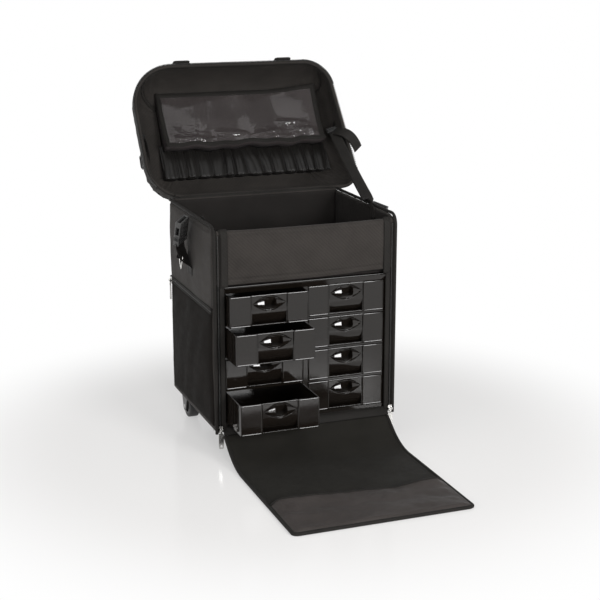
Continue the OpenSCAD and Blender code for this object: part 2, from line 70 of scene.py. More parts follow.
class Level:
    """A shader value that takes Python's own arithmetic."""

    def __init__(self, finish, socket):
        self.finish = finish
        self.socket = socket

    def math(self, operation, *others):
        return self.finish.node("Math", {"operation": operation}, dict(enumerate((self, *others))))

    def __add__(self, other):
        return self.math("ADD", other)

    def __mul__(self, other):
        return self.math("MULTIPLY", other)

    def __sub__(self, other):
        return self.math("SUBTRACT", other)

    def __rsub__(self, other):
        return self.finish.node("Math", {"operation": "SUBTRACT"}, {0: other, 1: self})

    def __truediv__(self, other):
        return self.math("DIVIDE", other)

    __radd__ = __add__
    __rmul__ = __mul__


class Finish:
    """One material, or the sky, as a tree of nodes."""

    def __init__(self, name, tree=None):
        if tree is None:
            self.material = bpy.data.materials.new(name)
            self.material.use_nodes = True
            tree = self.material.node_tree
        self.tree = tree
        tree.nodes.clear()

    def node(self, kind, settings, sockets, out=0):
        made = self.tree.nodes.new("ShaderNode" + kind)
        for key, value in settings.items():
            setattr(made, key, value)
        for key, value in sockets.items():
            if isinstance(value, Level):
                self.tree.links.new(value.socket, made.inputs[key])
            else:
                made.inputs[key].default_value = value
        return Level(self, made.outputs[out]) if made.outputs else None

    def mix(self, factor, first, second):
        return self.node("MixRGB", {}, {"Fac": factor, "Color1": first, "Color2": second})

    def grain(self, size, detail=3.0):
        """Mottling that is fixed to the piece, in spots of about a size."""
        place = self.node("TexCoord", {}, {}, "Object")
        return self.node("TexNoise", {}, {"Vector": place, "Scale": 1 / size, "Detail": detail})

    def relief(self, height, depth, strength=1.0):
        return self.node("Bump", {}, {"Height": height, "Distance": depth, "Strength": strength})

    def looked_at(self):
        """1 for rays from the camera, straight, mirrored or through glass, and 0 for light on its way."""
        kinds = ("Is Camera Ray", "Is Glossy Ray", "Is Transmission Ray")
        seen, mirrored, through = (self.node("LightPath", {}, {}, kind) for kind in kinds)
        return (seen + mirrored + through).math("MINIMUM", 1.0)

    def surface(self, sockets):
        shader = self.node("BsdfPrincipled", {}, sockets)
        self.node("OutputMaterial", {}, {"Surface": shader})
        return self.material


sky_light = 0.55
ceiling_light = 0.3
world = bpy.data.worlds.new("studio_sky")
world.use_nodes = True
scene.world = world
sky = Finish("studio_sky", world.node_tree)
direct = sky.looked_at()
height = sky.node("SeparateXYZ", {}, {"Vector": sky.node("TexCoord", {}, {}, "Generated")}, "Z")
ceiling = sky.node("MapRange", {"interpolation_type": "SMOOTHSTEP"}, {
    "Value": height, "From Min": 0.12, "From Max": 0.7, "To Min": 1.0, "To Max": ceiling_light})
sky_strength = (direct + (1 - direct) * sky_light) * ceiling
backdrop = sky.node("Background", {}, {"Color": (1, 1, 1, 1), "Strength": sky_strength})
sky.node("OutputWorld", {}, {"Surface": backdrop})

floor_z = -0.0004
floor_mesh = bpy.data.meshes.new("studio_floor")
floor_mesh.from_pydata([(x, y, floor_z) for x, y in ((-30, -30), (30, -30), (30, 40), (-30, 40))], [],
                       [(0, 1, 2, 3)])
floor = bpy.data.objects.new("studio_floor", floor_mesh)
scene.collection.objects.link(floor)
paper = Finish("white_floor")
lit = paper.node("BsdfPrincipled", {}, {
    "Base Color": (0.93, 0.91, 0.89, 1), "Roughness": 0.16, "Specular IOR Level": 0.22})
white = paper.node("Emission", {}, {"Color": (1, 1, 1, 1), "Strength": 1.0})
spot = paper.node("NewGeometry", {}, {}, "Position")
away = paper.node("VectorMath", {"operation": "LENGTH"}, {0: spot}, "Value")
clean = paper.node("MapRange", {"interpolation_type": "SMOOTHSTEP"}, {
    "Value": away, "From Min": 0.40, "From Max": 0.78, "To Min": 0.45, "To Max": 1.0})
blank = paper.node("MixShader", {}, {0: clean * paper.looked_at(), 1: lit, 2: white})
paper.node("OutputMaterial", {}, {"Surface": blank})
floor_mesh.materials.append(paper.material)


def aimed(name, data, at, aim):
    """Lamp or camera at a place, turned to a point."""
    holder = bpy.data.objects.new(name, data)
    holder.location = at
    holder.rotation_euler = (Vector(aim) - holder.location).to_track_quat("-Z", "Y").to_euler()
    scene.collection.objects.link(holder)
    return holder


def lamp(name, at, aim, size, power):
    light = bpy.data.lights.new(name, "AREA")
    light.shape = "SQUARE"
    light.size = size
    light.energy = power
    aimed(name, light, at, aim)


lamp("front_lamp", (0.9, -2.9, 1.25), (0, 0, 0.3), 1.0, 52)
lamp("camera_lamp", (-0.45, -2.95, 1.02), (0, 0, 0.3), 0.55, 24)
lamp("top_lamp", (-0.4, -0.1, 2.8), (0, -0.1, 0.2), 2.2, 16)
lamp("left_lamp", (-2.6, -0.5, 1.4), (0, 0, 0.25), 1.4, 13)

camera_at = (-0.8560, -2.3818 + case_y, 0.9182)
camera_aim = (0.0395, case_y, 0.2426)
camera = aimed("camera", bpy.data.cameras.new("camera"), camera_at, camera_aim)
camera.data.lens = 82.94
camera.data.sensor_width = 36
camera.data.clip_end = 100
scene.camera = camera


# Side walls: foam boards in charcoal woven nylon, sewn in at every edge so that they swell between the seams.
# The upper front corner is rounded, and a line of black stitches follows the front and top edges.
class Cut:
    """Points and faces of one piece, gathered part by part."""

    def __init__(self):
        self.points = []
        self.faces = []

    def add(self, points, faces):
        first = len(self.points)
        self.points += [tuple(p) for p in points]
        self.faces += [tuple(first + i for i in face) for face in faces]

    def sheet(self, rows, cols, at, wrap=False):
        """Open sheet, or a sleeve where it wraps, from a function of the shares of its rows and columns."""
        width = cols if wrap else cols + 1
        points = [at(r / rows, c / cols) for r in range(rows + 1) for c in range(width)]
        faces = []
        for low in range(0, rows * width, width):
            for c in range(cols):
                after = (c + 1) % width
                faces.append((low + c, low + after, low + width + after, low + width + c))
        self.add(points, faces)

    def pad(self, rows, cols, front, back):
        """Closed pad from its two faces, joined round the edge."""
        width = cols + 1
        count = (rows + 1) * width
        points = []
        for face in (front, back):
            points += [face(r / rows, c / cols) for r in range(rows + 1) for c in range(width)]
        faces = []
        for r in range(rows):
            for c in range(cols):
                i = r * width + c
                faces.append((i, i + 1, i + width + 1, i + width))
                faces.append((count + i, count + i + width, count + i + width + 1, count + i + 1))
        rim = list(range(cols)) + [r * width + cols for r in range(rows)]
        rim += [rows * width + c for c in range(cols, 0, -1)] + [r * width for r in range(rows, 0, -1)]
        for i, j in zip(rim, rim[1:] + rim[:1]):
            faces.append((i, count + i, count + j, j))
        self.add(points, faces)

    def tube(self, path, radius, sides=10, loop=False, flat=1.0, up=(0, 0, 1)):
        """Round or flattened bead along a path. flat scales it along the side of the path that up gives."""
        path = [Vector(p) for p in path]
        count = len(path)
        points = []
        normal = Vector(up)
        for i, p in enumerate(path):
            ahead = path[(i + 1) % count] if loop or i < count - 1 else p
            behind = path[i - 1] if loop or i else p
            along = (ahead - behind).normalized()
            normal = (normal - along * normal.dot(along)).normalized()
            side = along.cross(normal)
            for k in range(sides):
                turn = math.tau * k / sides
                points.append(p + (normal * math.cos(turn) * flat + side * math.sin(turn)) * radius)
        faces = []
        for i in range(count if loop else count - 1):
            for k in range(sides):
                j = (i + 1) % count
                m = (k + 1) % sides
                faces.append((i * sides + k, i * sides + m, j * sides + m, j * sides + k))
        if not loop:
            faces.append(tuple(range(sides)))
            faces.append(tuple((count - 1) * sides + k for k in reversed(range(sides))))
        self.add(points, faces)

    def block(self, low, high, round_r=0.0006, segments=2, turn=None):
        """Box with rounded edges, turned by a matrix if one is given."""
        box = bmesh.new()
        bmesh.ops.create_cube(box, size=1)
        low = Vector(low)
        high = Vector(high)
        for v in box.verts:
            v.co = Vector((low[i] + (v.co[i] + 0.5) * (high[i] - low[i]) for i in range(3)))
        round_r = min(round_r, 0.49 * min(high - low))
        bmesh.ops.bevel(box, geom=box.edges[:] + box.verts[:], offset=round_r, segments=segments, profile=0.5,
                        affect="EDGES")
        if turn is not None:
            bmesh.ops.transform(box, matrix=turn, verts=box.verts)
        box.verts.index_update()
        self.add([v.co for v in box.verts], [[v.index for v in f.verts] for f in box.faces])
        box.free()

    def block_on(self, side, low, high, *rest):
        """Box given as on the right, side = 1, or its mirror image on the left."""
        xs = sorted((side * low[0], side * high[0]))
        self.block((xs[0], *low[1:]), (xs[1], *high[1:]), *rest)

    def stitches(self, path, out, pitch=0.0042, size=0.0013):
        """Row of thread stitches on a path, each a small spindle that stands half out of the cloth."""
        path = [Vector(p) for p in path]
        up = Vector(out).normalized()
        spindle = [(0, k, k % 4 + 1) for k in range(1, 5)] + [(5, k % 4 + 1, k) for k in range(1, 5)]
        run = 0.0
        for a, b in zip(path, path[1:]):
            length = (b - a).length
            along = (b - a).normalized()
            across = along.cross(up).normalized() * 0.00035
            reach = along * size
            while run < length:
                p = a + along * run
                waist = [p + across, p + up * 0.0005, p - across, p - up * 0.0003]
                self.add([p - reach, *waist, p + reach], spindle)
                run += pitch
            run -= length


def make(cut, name, body, material, nodes=(), place=None, crisp=None):
    """Piece from a cut: weave laid out in metres, smooth shading, its finish, and the body it rides on."""
    mesh = bpy.data.meshes.new(name)
    mesh.from_pydata(cut.points, [], cut.faces)
    shell = bmesh.new()
    shell.from_mesh(mesh)
    bmesh.ops.recalc_face_normals(shell, faces=shell.faces)
    shell.to_mesh(mesh)
    shell.free()
    weave = mesh.uv_layers.new(name="weave")
    for face in mesh.polygons:
        face.use_smooth = True
        facing = max(range(3), key=lambda i: abs(face.normal[i]))
        first, second = ((1, 2), (0, 2), (0, 1))[facing]
        for loop in face.loop_indices:
            p = mesh.vertices[mesh.loops[loop].vertex_index].co
            weave.data[loop].uv = (p[first], p[second])
    if crisp:
        mesh.set_sharp_from_angle(angle=math.radians(crisp))
    if place is not None:
        mesh.transform(place)
    mesh.transform(Matrix.Translation((0, case_y, 0)))
    mesh.materials.append(material)
    made = bpy.data.objects.new(name, mesh)
    scene.collection.objects.link(made)
    if nodes:
        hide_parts(*nodes)
    if body:
        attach(made, body)
    return made


def cloth(name, dark, light, thread, sheen, rough=0.7, relief=0.00022, rub=0.5, gloss=0.12):
    """Woven cloth: a stepped twill painted paler on its thread tops and darker in its grooves (painted shade
    of the weave), uneven dye, and rubbed wear in random patches.
    """
    f = Finish(name)
    laid = f.node("UVMap", {"uv_map": "weave"}, {})
    across = f.node("SeparateXYZ", {}, {"Vector": laid}, "X") / thread
    along = f.node("SeparateXYZ", {}, {"Vector": laid}, "Y") / thread
    twill = ((across.math("FLOOR") + along.math("FLOOR")) * 0.25).math("FRACT").math("GREATER_THAN", 0.45)
    warp = (across * math.pi).math("SINE").math("ABSOLUTE")
    weft = (along * math.pi).math("SINE").math("ABSOLUTE")
    height = twill * warp + (1 - twill) * weft * 0.68
    dye = f.grain(0.05, 4.0)
    worn = f.grain(0.009, 5.0)
    # Colour: the weave's height paints its grooves darker and its thread tops paler as painted shade; dye and
    # worn add random tone and real wear.
    weave_shade_dye_and_wear = (height * 0.55 + dye * 0.5 + worn * rub * 0.5 - 0.25).math("MAXIMUM", 0.0).math("MINIMUM", 1.0)
    return f.surface({
        "Base Color": f.mix(weave_shade_dye_and_wear, (*dark, 1), (*light, 1)),
        "Roughness": rough + (worn - 0.5) * 0.3,
        "Normal": f.relief(height + worn * 0.4, relief, 0.8),
        "Specular IOR Level": gloss,
        "Sheen Weight": sheen,
        "Sheen Roughness": 0.45,
    })


nylon = cloth("nylon_twill", (0.013, 0.0115, 0.0104), (0.064, 0.0562, 0.0510), 0.0017, 0.08)
thread = cloth("black_thread", (0.010, 0.009, 0.0085), (0.030, 0.027, 0.025), 0.0006, 0.03)
case_half_w = 0.175
inner_half_w = 0.167
rim_z = 0.428
base_z = 0.048


def smooth(low, high, x):
    t = min(1, max(0, (x - low) / (high - low)))
    return t * t * (3 - 2 * t)


def crease(p, size, seed):
    return noise.noise(Vector(p) / size + Vector((seed * 7.3, seed * 3.1, seed * 5.7)))


def swell(edge, reach):
    """Share of a pad's full thickness at a distance from its seam, rising on a quarter circle."""
    return math.sqrt(1 - (1 - min(1, max(0, edge / reach))) ** 2)


wall_front_y = -0.1375
wall_top_z = 0.423
corner_r = 0.017


def wall_spot(a, b):
    """Place on a side wall: a runs from front to back, b from base to rim."""
    z = base_z + b * (wall_top_z - base_z)
    over = max(0, z - (wall_top_z - corner_r))
    front = wall_front_y + corner_r - math.sqrt(max(0, corner_r * corner_r - over * over))
    y = front + a * (wall_back_y - front)
    edge = min(y - front, wall_back_y - y, z - base_z, wall_top_z - z)
    return y, z, swell(edge, 0.013)


sides = ((-1, "left"), (1, "right"))
for side, end in sides:
    def wall_out(a, b):
        y, z, soft = wall_spot(a, b)
        crown = 0.0026 * (1 - abs(2 * a - 1) ** 3) * smooth(0.27, 0.34, z) * smooth(0.425, 0.38, z)
        ripple = 0.0024 * crease((0, y, z), 0.09, side) + 0.0007 * crease((0, y, z), 0.028, side + 4)
        return Vector((side * (inner_half_w + 0.0035 + 0.0045 * soft + crown + ripple * soft), y, z))

    def wall_in(a, b):
        y, z, soft = wall_spot(a, b)
        ripple = 0.0006 * crease((0, y, z), 0.06, side + 9)
        return Vector((side * (inner_half_w + 0.001 * (1 - soft) + ripple * soft), y, z))

    wall = Cut()
    wall.pad(72, 60, wall_out, wall_in)
    board = make(wall, f"padded_wall_{end}", "case", nylon, [f"side_wall_{end}"])
    seam = Cut()
    seam_x = side * (case_half_w + 0.0001)
    for inset in (0.0075, 0.0105):
        rise = [(seam_x, wall_front_y + inset, base_z + 0.004 + 0.006 * i) for i in range(58)]
        top = [(seam_x, wall_front_y + 0.02 + 0.006 * i, wall_top_z - inset) for i in range(43)]
        for path in (rise, top):
            seam.stitches(path, (side, 0, 0))
    make(seam, f"wall_stitching_{end}", "case", thread, ())

# Back wall and base: boards in the same nylon. The back wall closes the compartment under the lid's hinge,
# and the base carries the wheels and feet.
back_top_z = 0.427
back_in_y = 0.1345
back_seam_y = 0.1385
back = Cut()


def back_spot(a, b):
    """Place on the back wall and its distance from the side seams: a runs across it, b up it."""
    x = (a - 0.5) * 2 * inner_half_w
    return x, base_z + b * (back_top_z - base_z), inner_half_w - abs(x)


def back_out(a, b):
    x, z, edge = back_spot(a, b)
    soft = swell(min(edge, z - base_z, back_top_z - z), 0.01)
    return Vector((x, back_seam_y + 0.004 * soft + 0.0005 * crease((x, 0, z), 0.05, 3) * soft, z))


def back_in(a, b):
    x, z, edge = back_spot(a, b)
    return Vector((x, back_in_y + 0.0012 * crease((x, 0, z), 0.07, 5) * smooth(0, 0.02, edge), z))


back.pad(60, 48, back_out, back_in)
board = make(back, "padded_back_wall", "case", nylon, ["back_wall"])
base_top_z = 0.056
base = Cut()
base.block((-inner_half_w, wall_front_y, base_z), (inner_half_w, back_in_y, base_top_z), 0.003, 3)
make(base, "covered_base_board", "case", nylon, ["base_board"])

# Front panel above the drawers: a padded bolster of the same nylon with a full round top, hemmed along the
# bottom and drawn in at the welts. It bows out a little between them, and its hem lifts towards the right.
panel_top = 0.419
panel_low = 0.322
panel_r = 0.006
panel_front_y = -0.1415
panel_mid_y = -0.1355
panel_back_y = -0.1295
panel_height = panel_top - panel_low - panel_r
panel_run = 2 * panel_height + math.pi * panel_r


def panel_ring(a, b):
    """Section of the bolster: b runs up the front, over the top and down the back."""
    x = (a - 0.5) * 2 * inner_half_w
    along = 1 - abs(2 * a - 1) ** 3
    run = b * panel_run
    past = run - panel_height
    if past < 0:
        z = panel_low + run
        puff = 0.0022 * along * math.sin(math.pi * min(1, run / panel_height))
        puff += 0.0011 * crease((x, 0, z), 0.045, 2)
        hem = 0.0012 * math.exp(-(((run - 0.009) / 0.0022) ** 2))
        y = panel_front_y - puff + hem + 0.0011 * math.exp(-(run / 0.004) ** 2)
    elif past < math.pi * panel_r:
        z = panel_low + panel_height + panel_r * math.sin(past / panel_r)
        y = panel_mid_y - panel_r * math.cos(past / panel_r)
    else:
        z = panel_low + panel_height - (past - math.pi * panel_r)
        y = panel_back_y + 0.0008 * crease((x, 0, z), 0.05, 6)
    droop = 0.0021 * along * smooth(panel_top - 0.05, panel_top, z)
    lift = 0.004 * smooth(0.35, panel_low, z) * smooth(0.55, 0.95, a)
    if y < panel_mid_y:
        y += 0.0034 * smooth(0.146, 0.154, abs(x))
    return Vector((x, y, z - droop + lift))


slices = 72
ring_points = 96
bolster = Cut()
bolster.sheet(slices, ring_points, panel_ring, wrap=True)
bolster.faces.append(tuple(range(ring_points)))
bolster.faces.append(tuple(slices * ring_points + c for c in reversed(range(ring_points))))
front = make(bolster, "front_bolster", "case", nylon, ["front_panel"], crisp=50)
hem = Cut()
for z in (0.3335, 0.4095):
    hem.stitches([panel_ring(i / 60, (z - panel_low) / panel_run) for i in range(1, 60)], (0, -1, 0))
make(hem, "bolster_stitching", "case", thread, ())

# Compartment: a thin board under a loose lining that rises a little into the corners, and the same dark cloth
# hung down the back and side walls from the rim.
# The compartment cloth is painted darker than the case's nylon: painted shade over the compartment floor and
# the walls.
shaded_compartment_cloth = cloth("shaded_compartment_cloth", (0.007, 0.0062, 0.0058), (0.030, 0.0265, 0.0245), 0.0009, 0.02)
lining = cloth("grey_lining", (0.018, 0.0150, 0.0150), (0.052, 0.0440, 0.0440), 0.0007, 0.02, 0.62, 0.00012)
lining_z = 0.3195
board_z = 0.317
hung_low = 0.3200
hung_front_y = -0.1285
hung_back_y = 0.1330
hung_thick = 0.0008
tray = Cut()


def lining_top(a, b):
    x = (a - 0.5) * 2 * inner_half_w
    y = panel_back_y + b * (back_in_y - panel_back_y)
    edge = min(inner_half_w - abs(x), y - panel_back_y, back_in_y - y)
    rise = 0.002 * (1 - smooth(0, 0.02, edge)) + 0.0008 * crease((x, y, 0), 0.05, 8)
    return Vector((x, y, lining_z + rise))


def lining_under(a, b):
    return Vector(((a - 0.5) * 2 * inner_half_w, panel_back_y + b * (back_in_y - panel_back_y), board_z))


tray.pad(48, 48, lining_top, lining_under)
board = make(tray, "compartment_lining", "case", shaded_compartment_cloth, ["compartment_floor"])
hung = Cut()


def slack(a, b):
    """How freely hung cloth sways: not at all at its edges, and fully a tenth of its size inside them."""
    return min(1, min(a, 1 - a, b, 1 - b) / 0.1)


def hung_side(side, a, b, thick):
    y = hung_front_y + a * 0.2620
    z = hung_low + b * 0.1010
    sway = 0.0009 * crease((side, y, z), 0.05, 15) * slack(a, b)
    return Vector((side * (inner_half_w - 0.0011 - thick + sway), y, z))


def hung_back(a, b, thick):
    x = (a - 0.5) * 0.330
    z = hung_low + b * 0.1055
    sway = 0.0012 * crease((x, 3, z), 0.06, 17) * slack(a, b)
    return Vector((x, hung_back_y - thick + sway, z))


# Sheets of the same painted-shade cloth hung over the inner faces of the back and side walls.
for side in (-1, 1):
    hung.pad(20, 40, lambda r, c: hung_side(side, c, r, hung_thick), lambda r, c: hung_side(side, c, r, 0))
hung.pad(20, 50, lambda r, c: hung_back(c, r, hung_thick), lambda r, c: hung_back(c, r, 0))
hanging = make(hung, "compartment_wall_lining_painted_shade", "case", shaded_compartment_cloth, ())

# Piping and zips of the case: a cloth-covered cord up each front edge, round the corner and along the rim;
# beside it a woven tape with moulded teeth and a soft welt, and the same tape at the mouth of each pocket.
# A strip of tape under the drawers carries the front flap.
tape = cloth("zip_tape", (0.008, 0.0074, 0.0068), (0.030, 0.0275, 0.0250), 0.0016, 0.02, 0.62, 0.0003)
nub = Finish("zip_teeth")
zip_teeth = nub.surface({
    "Base Color": nub.mix(nub.grain(0.004), (0.012, 0.012, 0.012, 1), (0.04, 0.039, 0.037, 1)),
    "Roughness": 0.3 + nub.grain(0.0015) * 0.2,
})


def band(cut, path, across, width, thick):
    """Flat strap: a path of points and the way across it, fixed or turning with the share of the path."""
    path = [Vector(p) for p in path]
    rows = len(path) - 1

    def broad_at(i):
        return Vector(across(i / rows) if callable(across) else across).normalized()

    def out_at(i):
        along = (path[min(i + 1, rows)] - path[max(i - 1, 0)]).normalized()
        return broad_at(i).cross(along).normalized()

    def face(sign):
        def at(a, b):
            i = round(a * rows)
            edge = abs(2 * b - 1)
            lift = thick * 0.5 * (1 - 0.7 * max(0, edge - 0.86) / 0.14)
            return path[i] + broad_at(i) * (b - 0.5) * width + out_at(i) * sign * lift
        return at

    cut.pad(rows, 8, face(1), face(-1))


def curve(points, steps=8):
    """Smooth path through a few points."""
    points = [Vector(p) for p in points]
    ends = [points[0] * 2 - points[1]] + points + [points[-1] * 2 - points[-2]]
    path = []
    for p0, p1, p2, p3 in zip(ends, ends[1:], ends[2:], ends[3:]):
        for k in range(steps):
            t = k / steps
            path.append(0.5 * ((2 * p1) + (p2 - p0) * t + (2 * p0 - 5 * p1 + 4 * p2 - p3) * t * t
                               + (3 * p1 - p0 - 3 * p2 + p3) * t ** 3))
    return path + [points[-1]]


def piping_path(side):
    """Up the front edge, round the corner and back along the rim."""
    x = side * (case_half_w - 0.0025)
    bend = 0.0195
    bend_y = -0.1205
    bend_z = 0.406
    path = [(x, bend_y - bend, base_z + (bend_z - base_z) * i / 40) for i in range(41)]
    for k in range(1, 12):
        turn = k * math.pi / 24
        path.append((x, bend_y - bend * math.cos(turn), bend_z + bend * math.sin(turn)))
    return path + [(x, bend_y + (wall_back_y - bend_y) * i / 30, bend_z + bend) for i in range(31)]


piping = Cut()
for side in (-1, 1):
    cord = [Vector(p) + Vector((0, 0, 0.0006 * crease(p, 0.02, 5))) for p in piping_path(side)]
    piping.tube(cord, 0.0029, 10, up=(1, 0, 0))
    rear = [(side * (inner_half_w - 0.011 * i), back_seam_y, 0.4265) for i in range(16)]
    piping.tube(rear, 0.0024, 8)
make(piping, "edge_cord", "case", tape, ["edge_piping"])

zip_x = 0.166
zip_y = -0.1400
tooth_pitch = 0.0023
tooth_long = 0.0014
tape_edges = ((0.1545, 0.1635), (0.1685, 0.1712))
welt_x = 0.1550
welt_w = 0.0130
tapes = Cut()
teeth = Cut()
for side in (-1, 1):
    for low, high in tape_edges:
        x = side * (low + high) / 2
        rise = [(x, zip_y + 0.0012, 0.050 + 0.009 * i) for i in range(40)]
        band(tapes, rise + [(x, -0.1375, 0.4165), (x, -0.1335, 0.4200)], (1, 0, 0), high - low, 0.0026)
    welt = [(-0.1416, 0.318 + 0.008 * i) for i in range(12)] + [(-0.1400, 0.4145), (-0.1350, 0.4205)]
    band(tapes, curve([(side * welt_x, y, z) for y, z in welt], 2), (1, 0, 0), welt_w, 0.0034)
    for i in range(156):
        z = base_z + 0.004 + i * tooth_pitch
        teeth.block_on(side, (zip_x - 0.0015, zip_y - 0.0003, z),
                       (zip_x + 0.0015, zip_y + 0.0013, z + tooth_long), 0.0004, 1)
flap_seam = [(0, -0.1335, 0.0580), (0, -0.1390, 0.0565), (0, -0.1435, 0.0515), (0, -0.1462, 0.0455)]
band(tapes, curve(flap_seam, 5), (1, 0, 0), 0.322, 0.0030)
make(tapes, "front_zip_tapes", "case", tape, ["front_zip_tracks"])
make(teeth, "front_zip_teeth", "case", zip_teeth, ())

mouth_start = -0.130
mouth_end = 0.136
lip_z = (0.2688, 0.2772)
lip_r = 0.0024
welts = Cut()
pocket_teeth = Cut()
for side in (-1, 1):
    for z in lip_z:
        bead = []
        for i in range(61):
            out = case_half_w + 0.0004 + 0.0004 * crease((0, i / 40, z), 0.03, 6)
            bead.append((side * out, mouth_start + (mouth_end - mouth_start) * i / 60, z))
        welts.tube(bead, lip_r, 8, flat=0.85)
    welts.block_on(side, (0.1742, mouth_start, 0.2685), (0.1762, mouth_end, 0.2775), 0.0004)
    for i in range(116):
        y = mouth_start + 0.001 + i * tooth_pitch
        pocket_teeth.block_on(side, (0.1760, y, 0.2716), (0.1774, y + tooth_long, 0.2744), 0.0004, 1)
make(welts, "pocket_zip_welts", "case", tape, ["pocket_zip_tracks"])
make(pocket_teeth, "pocket_zip_teeth", "case", zip_teeth, ())

# Side pockets: one flat patch of nylon on each wall, sewn down on three sides and closed by the zip above.
# Empty, they swell a little and hang in soft slanting folds from the zip.
# The pockets' nylon is painted darker than the walls' nylon: painted shade on the pockets.
shaded_pocket_cloth = cloth("pocket_twill_painted_shade", (0.005, 0.0044, 0.0040), (0.026, 0.0229, 0.0207), 0.0017, 0.0,
                     gloss=0.04)
pocket_long = 0.260
pocket_low = 0.060
pocket_rise = 0.208


def pocket_spot(a, b):
    """Place on a pocket: a from its front edge to its back one, b from its foot to the zip."""
    return mouth_start + a * pocket_long, pocket_low + b * pocket_rise


for side, end in sides:
    def pocket_out(a, b):
        y, z = pocket_spot(a, b)
        fall = (1 - abs(2 * a - 1) ** 3.2) * (1 - abs(2 * b - 1) ** 2.6)
        fold = 0.0034 * crease((0, y * 1.7 + z * 0.7, z * 0.55), 0.075, side + 2)
        fold += 0.0010 * crease((0, y + z, z), 0.028, side + 6)
        gusset = 0.0022 * min(1, min(a, 1 - a, b) / 0.03)
        out = case_half_w + 0.0006 + gusset + 0.0068 * fall + fold * min(1, fall * 2)
        return Vector((side * out, y, z))

    def pocket_in(a, b):
        return Vector((side * (case_half_w - 0.001), *pocket_spot(a, b)))

    patch = Cut()
    patch.pad(64, 64, pocket_out, pocket_in)
    pouch = make(patch, f"side_pouch_{end}", "case", shaded_pocket_cloth, ["side_pockets"])
    seam = Cut()
    drop = [pocket_out(0.022, 1 - i / 60) for i in range(59)]
    foot = [pocket_out(0.022 + 0.956 * i / 60, 0.028) for i in range(61)]
    back_edge = [pocket_out(0.978, i / 60) for i in range(2, 60)]
    for path in (drop, foot, back_edge):
        seam.stitches(path, (side, 0, 0))
    make(seam, f"pouch_stitching_{end}", "case", thread, ())

# Drawer cabinet: polished black mouldings. Flat panels for top, base, sides and back, a divider and shelves
# that show their bright front edges between the drawers, and a beaded lintel under the front panel.
gloss = Finish("polished_moulding")
smear = gloss.grain(0.03, 4.0)
dust = gloss.grain(0.0012, 2.0)
moulding = gloss.surface({
    "Base Color": gloss.mix(dust, (0.0074, 0.0057, 0.0044, 1), (0.0116, 0.0090, 0.0072, 1)),
    "Roughness": 0.05 + smear * 0.07,
    "Normal": gloss.relief(gloss.grain(0.014, 1.0), 0.00015, 0.3),
    "Specular IOR Level": 0.5,
})


def rounded_node(node, material, radius):
    """Keeps a CAD solid, with its flat faces merged and its edges rounded."""
    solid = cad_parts[node]
    merge = solid.modifiers.new("merge_flats", "DECIMATE")
    merge.decimate_type = "DISSOLVE"
    merge.angle_limit = math.radians(2)
    bevel = solid.modifiers.new("round_edges", "BEVEL")
    bevel.width = radius
    bevel.segments = 2
    bevel.limit_method = "ANGLE"
    bevel.angle_limit = math.radians(40)
    bevel.harden_normals = True
    solid.data.materials.clear()
    solid.data.materials.append(material)


for node in ("cabinet_frame", "cabinet_divider", "cabinet_shelves"):
    rounded_node(node, moulding, 0.0008)
lintel_w = 0.308
lintel_low = 0.3044
lintel_rise = 0.0110
lintel = Cut()
lintel.pad(2, 8, lambda r, c: (lintel_w * (c - 0.5), -0.1341 - 0.0062 * r, lintel_low + lintel_rise * r),
           lambda r, c: (lintel_w * (c - 0.5), -0.1336, lintel_low + lintel_rise * r))
lintel.tube([(x, -0.1399, 0.3152) for x in (-0.1535, 0, 0.1535)], 0.0009, 10)
make(lintel, "cabinet_lintel", "case", moulding, (), crisp=30)

# Drawers: each is one moulding, a shallow open box whose front has a flat pad with a raised rim at either
# side and a sunk middle that curves back to a finger notch. A lens-shaped pull with a scoop bridges it.
drawer_w = 0.1475
drawer_d = 0.230
drawer_h = 0.056
wall_t = 0.002
front_low = 0.0006
open_by = {"drawer_left_1": 0.027, "drawer_left_2": 0.060, "drawer_left_4": 0.082}
pad_in = 0.0335
lens_z = 0.0400
lens_half = 0.0305
lens_high = 0.0108
scoop_half = 0.0112
scoop_deep = 0.0095
wing_fall = math.tan(math.radians(14.5))
wing_tip = 0.0070
tip_fall = 0.30
upper_fall = math.tan(math.radians(16))
lower_fall = math.tan(math.radians(24))
face_y = 0.0012
rim_r = 0.0012
rim_y = 0.0005
rim_turn = 0.0016


def middle_depth(z):
    """How far the middle of the front stands back at a height: flat above, rolled under to a notch below."""
    under = max(0, 0.030 - z) / 0.031
    return face_y + 0.025 * (1 - math.sqrt(1 - under * under))


def lens_slim(x):
    """Share of the pull's full height that is left at a distance from its middle."""
    return max(0.02, 1 - abs(x / lens_half) ** 1.8)


def scoop_cut(x, lift):
    """Share of the finger scoop cut at a place, lift being -1 at the pull's lower edge and 1 at its upper."""
    return smooth(scoop_half, scoop_half - 0.0015, abs(x)) * smooth(-0.66, -0.50, lift)


def scoop_floor(lift):
    """The scoop is deepest behind its lower lip."""
    return scoop_deep * (1 - 0.66 * min(1, max(0, (lift + 0.5) / 1.5)))


def middle_skin(a, b, thick):
    x = (b - 0.5) * 2 * pad_in
    z = front_low + a * 0.0549
    lift = (z - lens_z) / (lens_high * lens_slim(x))
    hole = scoop_cut(x, lift) * (scoop_floor(lift) + 0.0012) if lift < 1 else 0
    groove = 0.0018 * smooth(0.86, 1.0, abs(lift)) * smooth(1.34, 1.14, abs(lift))
    return Vector((x, middle_depth(z) + max(hole, groove) + thick, z))


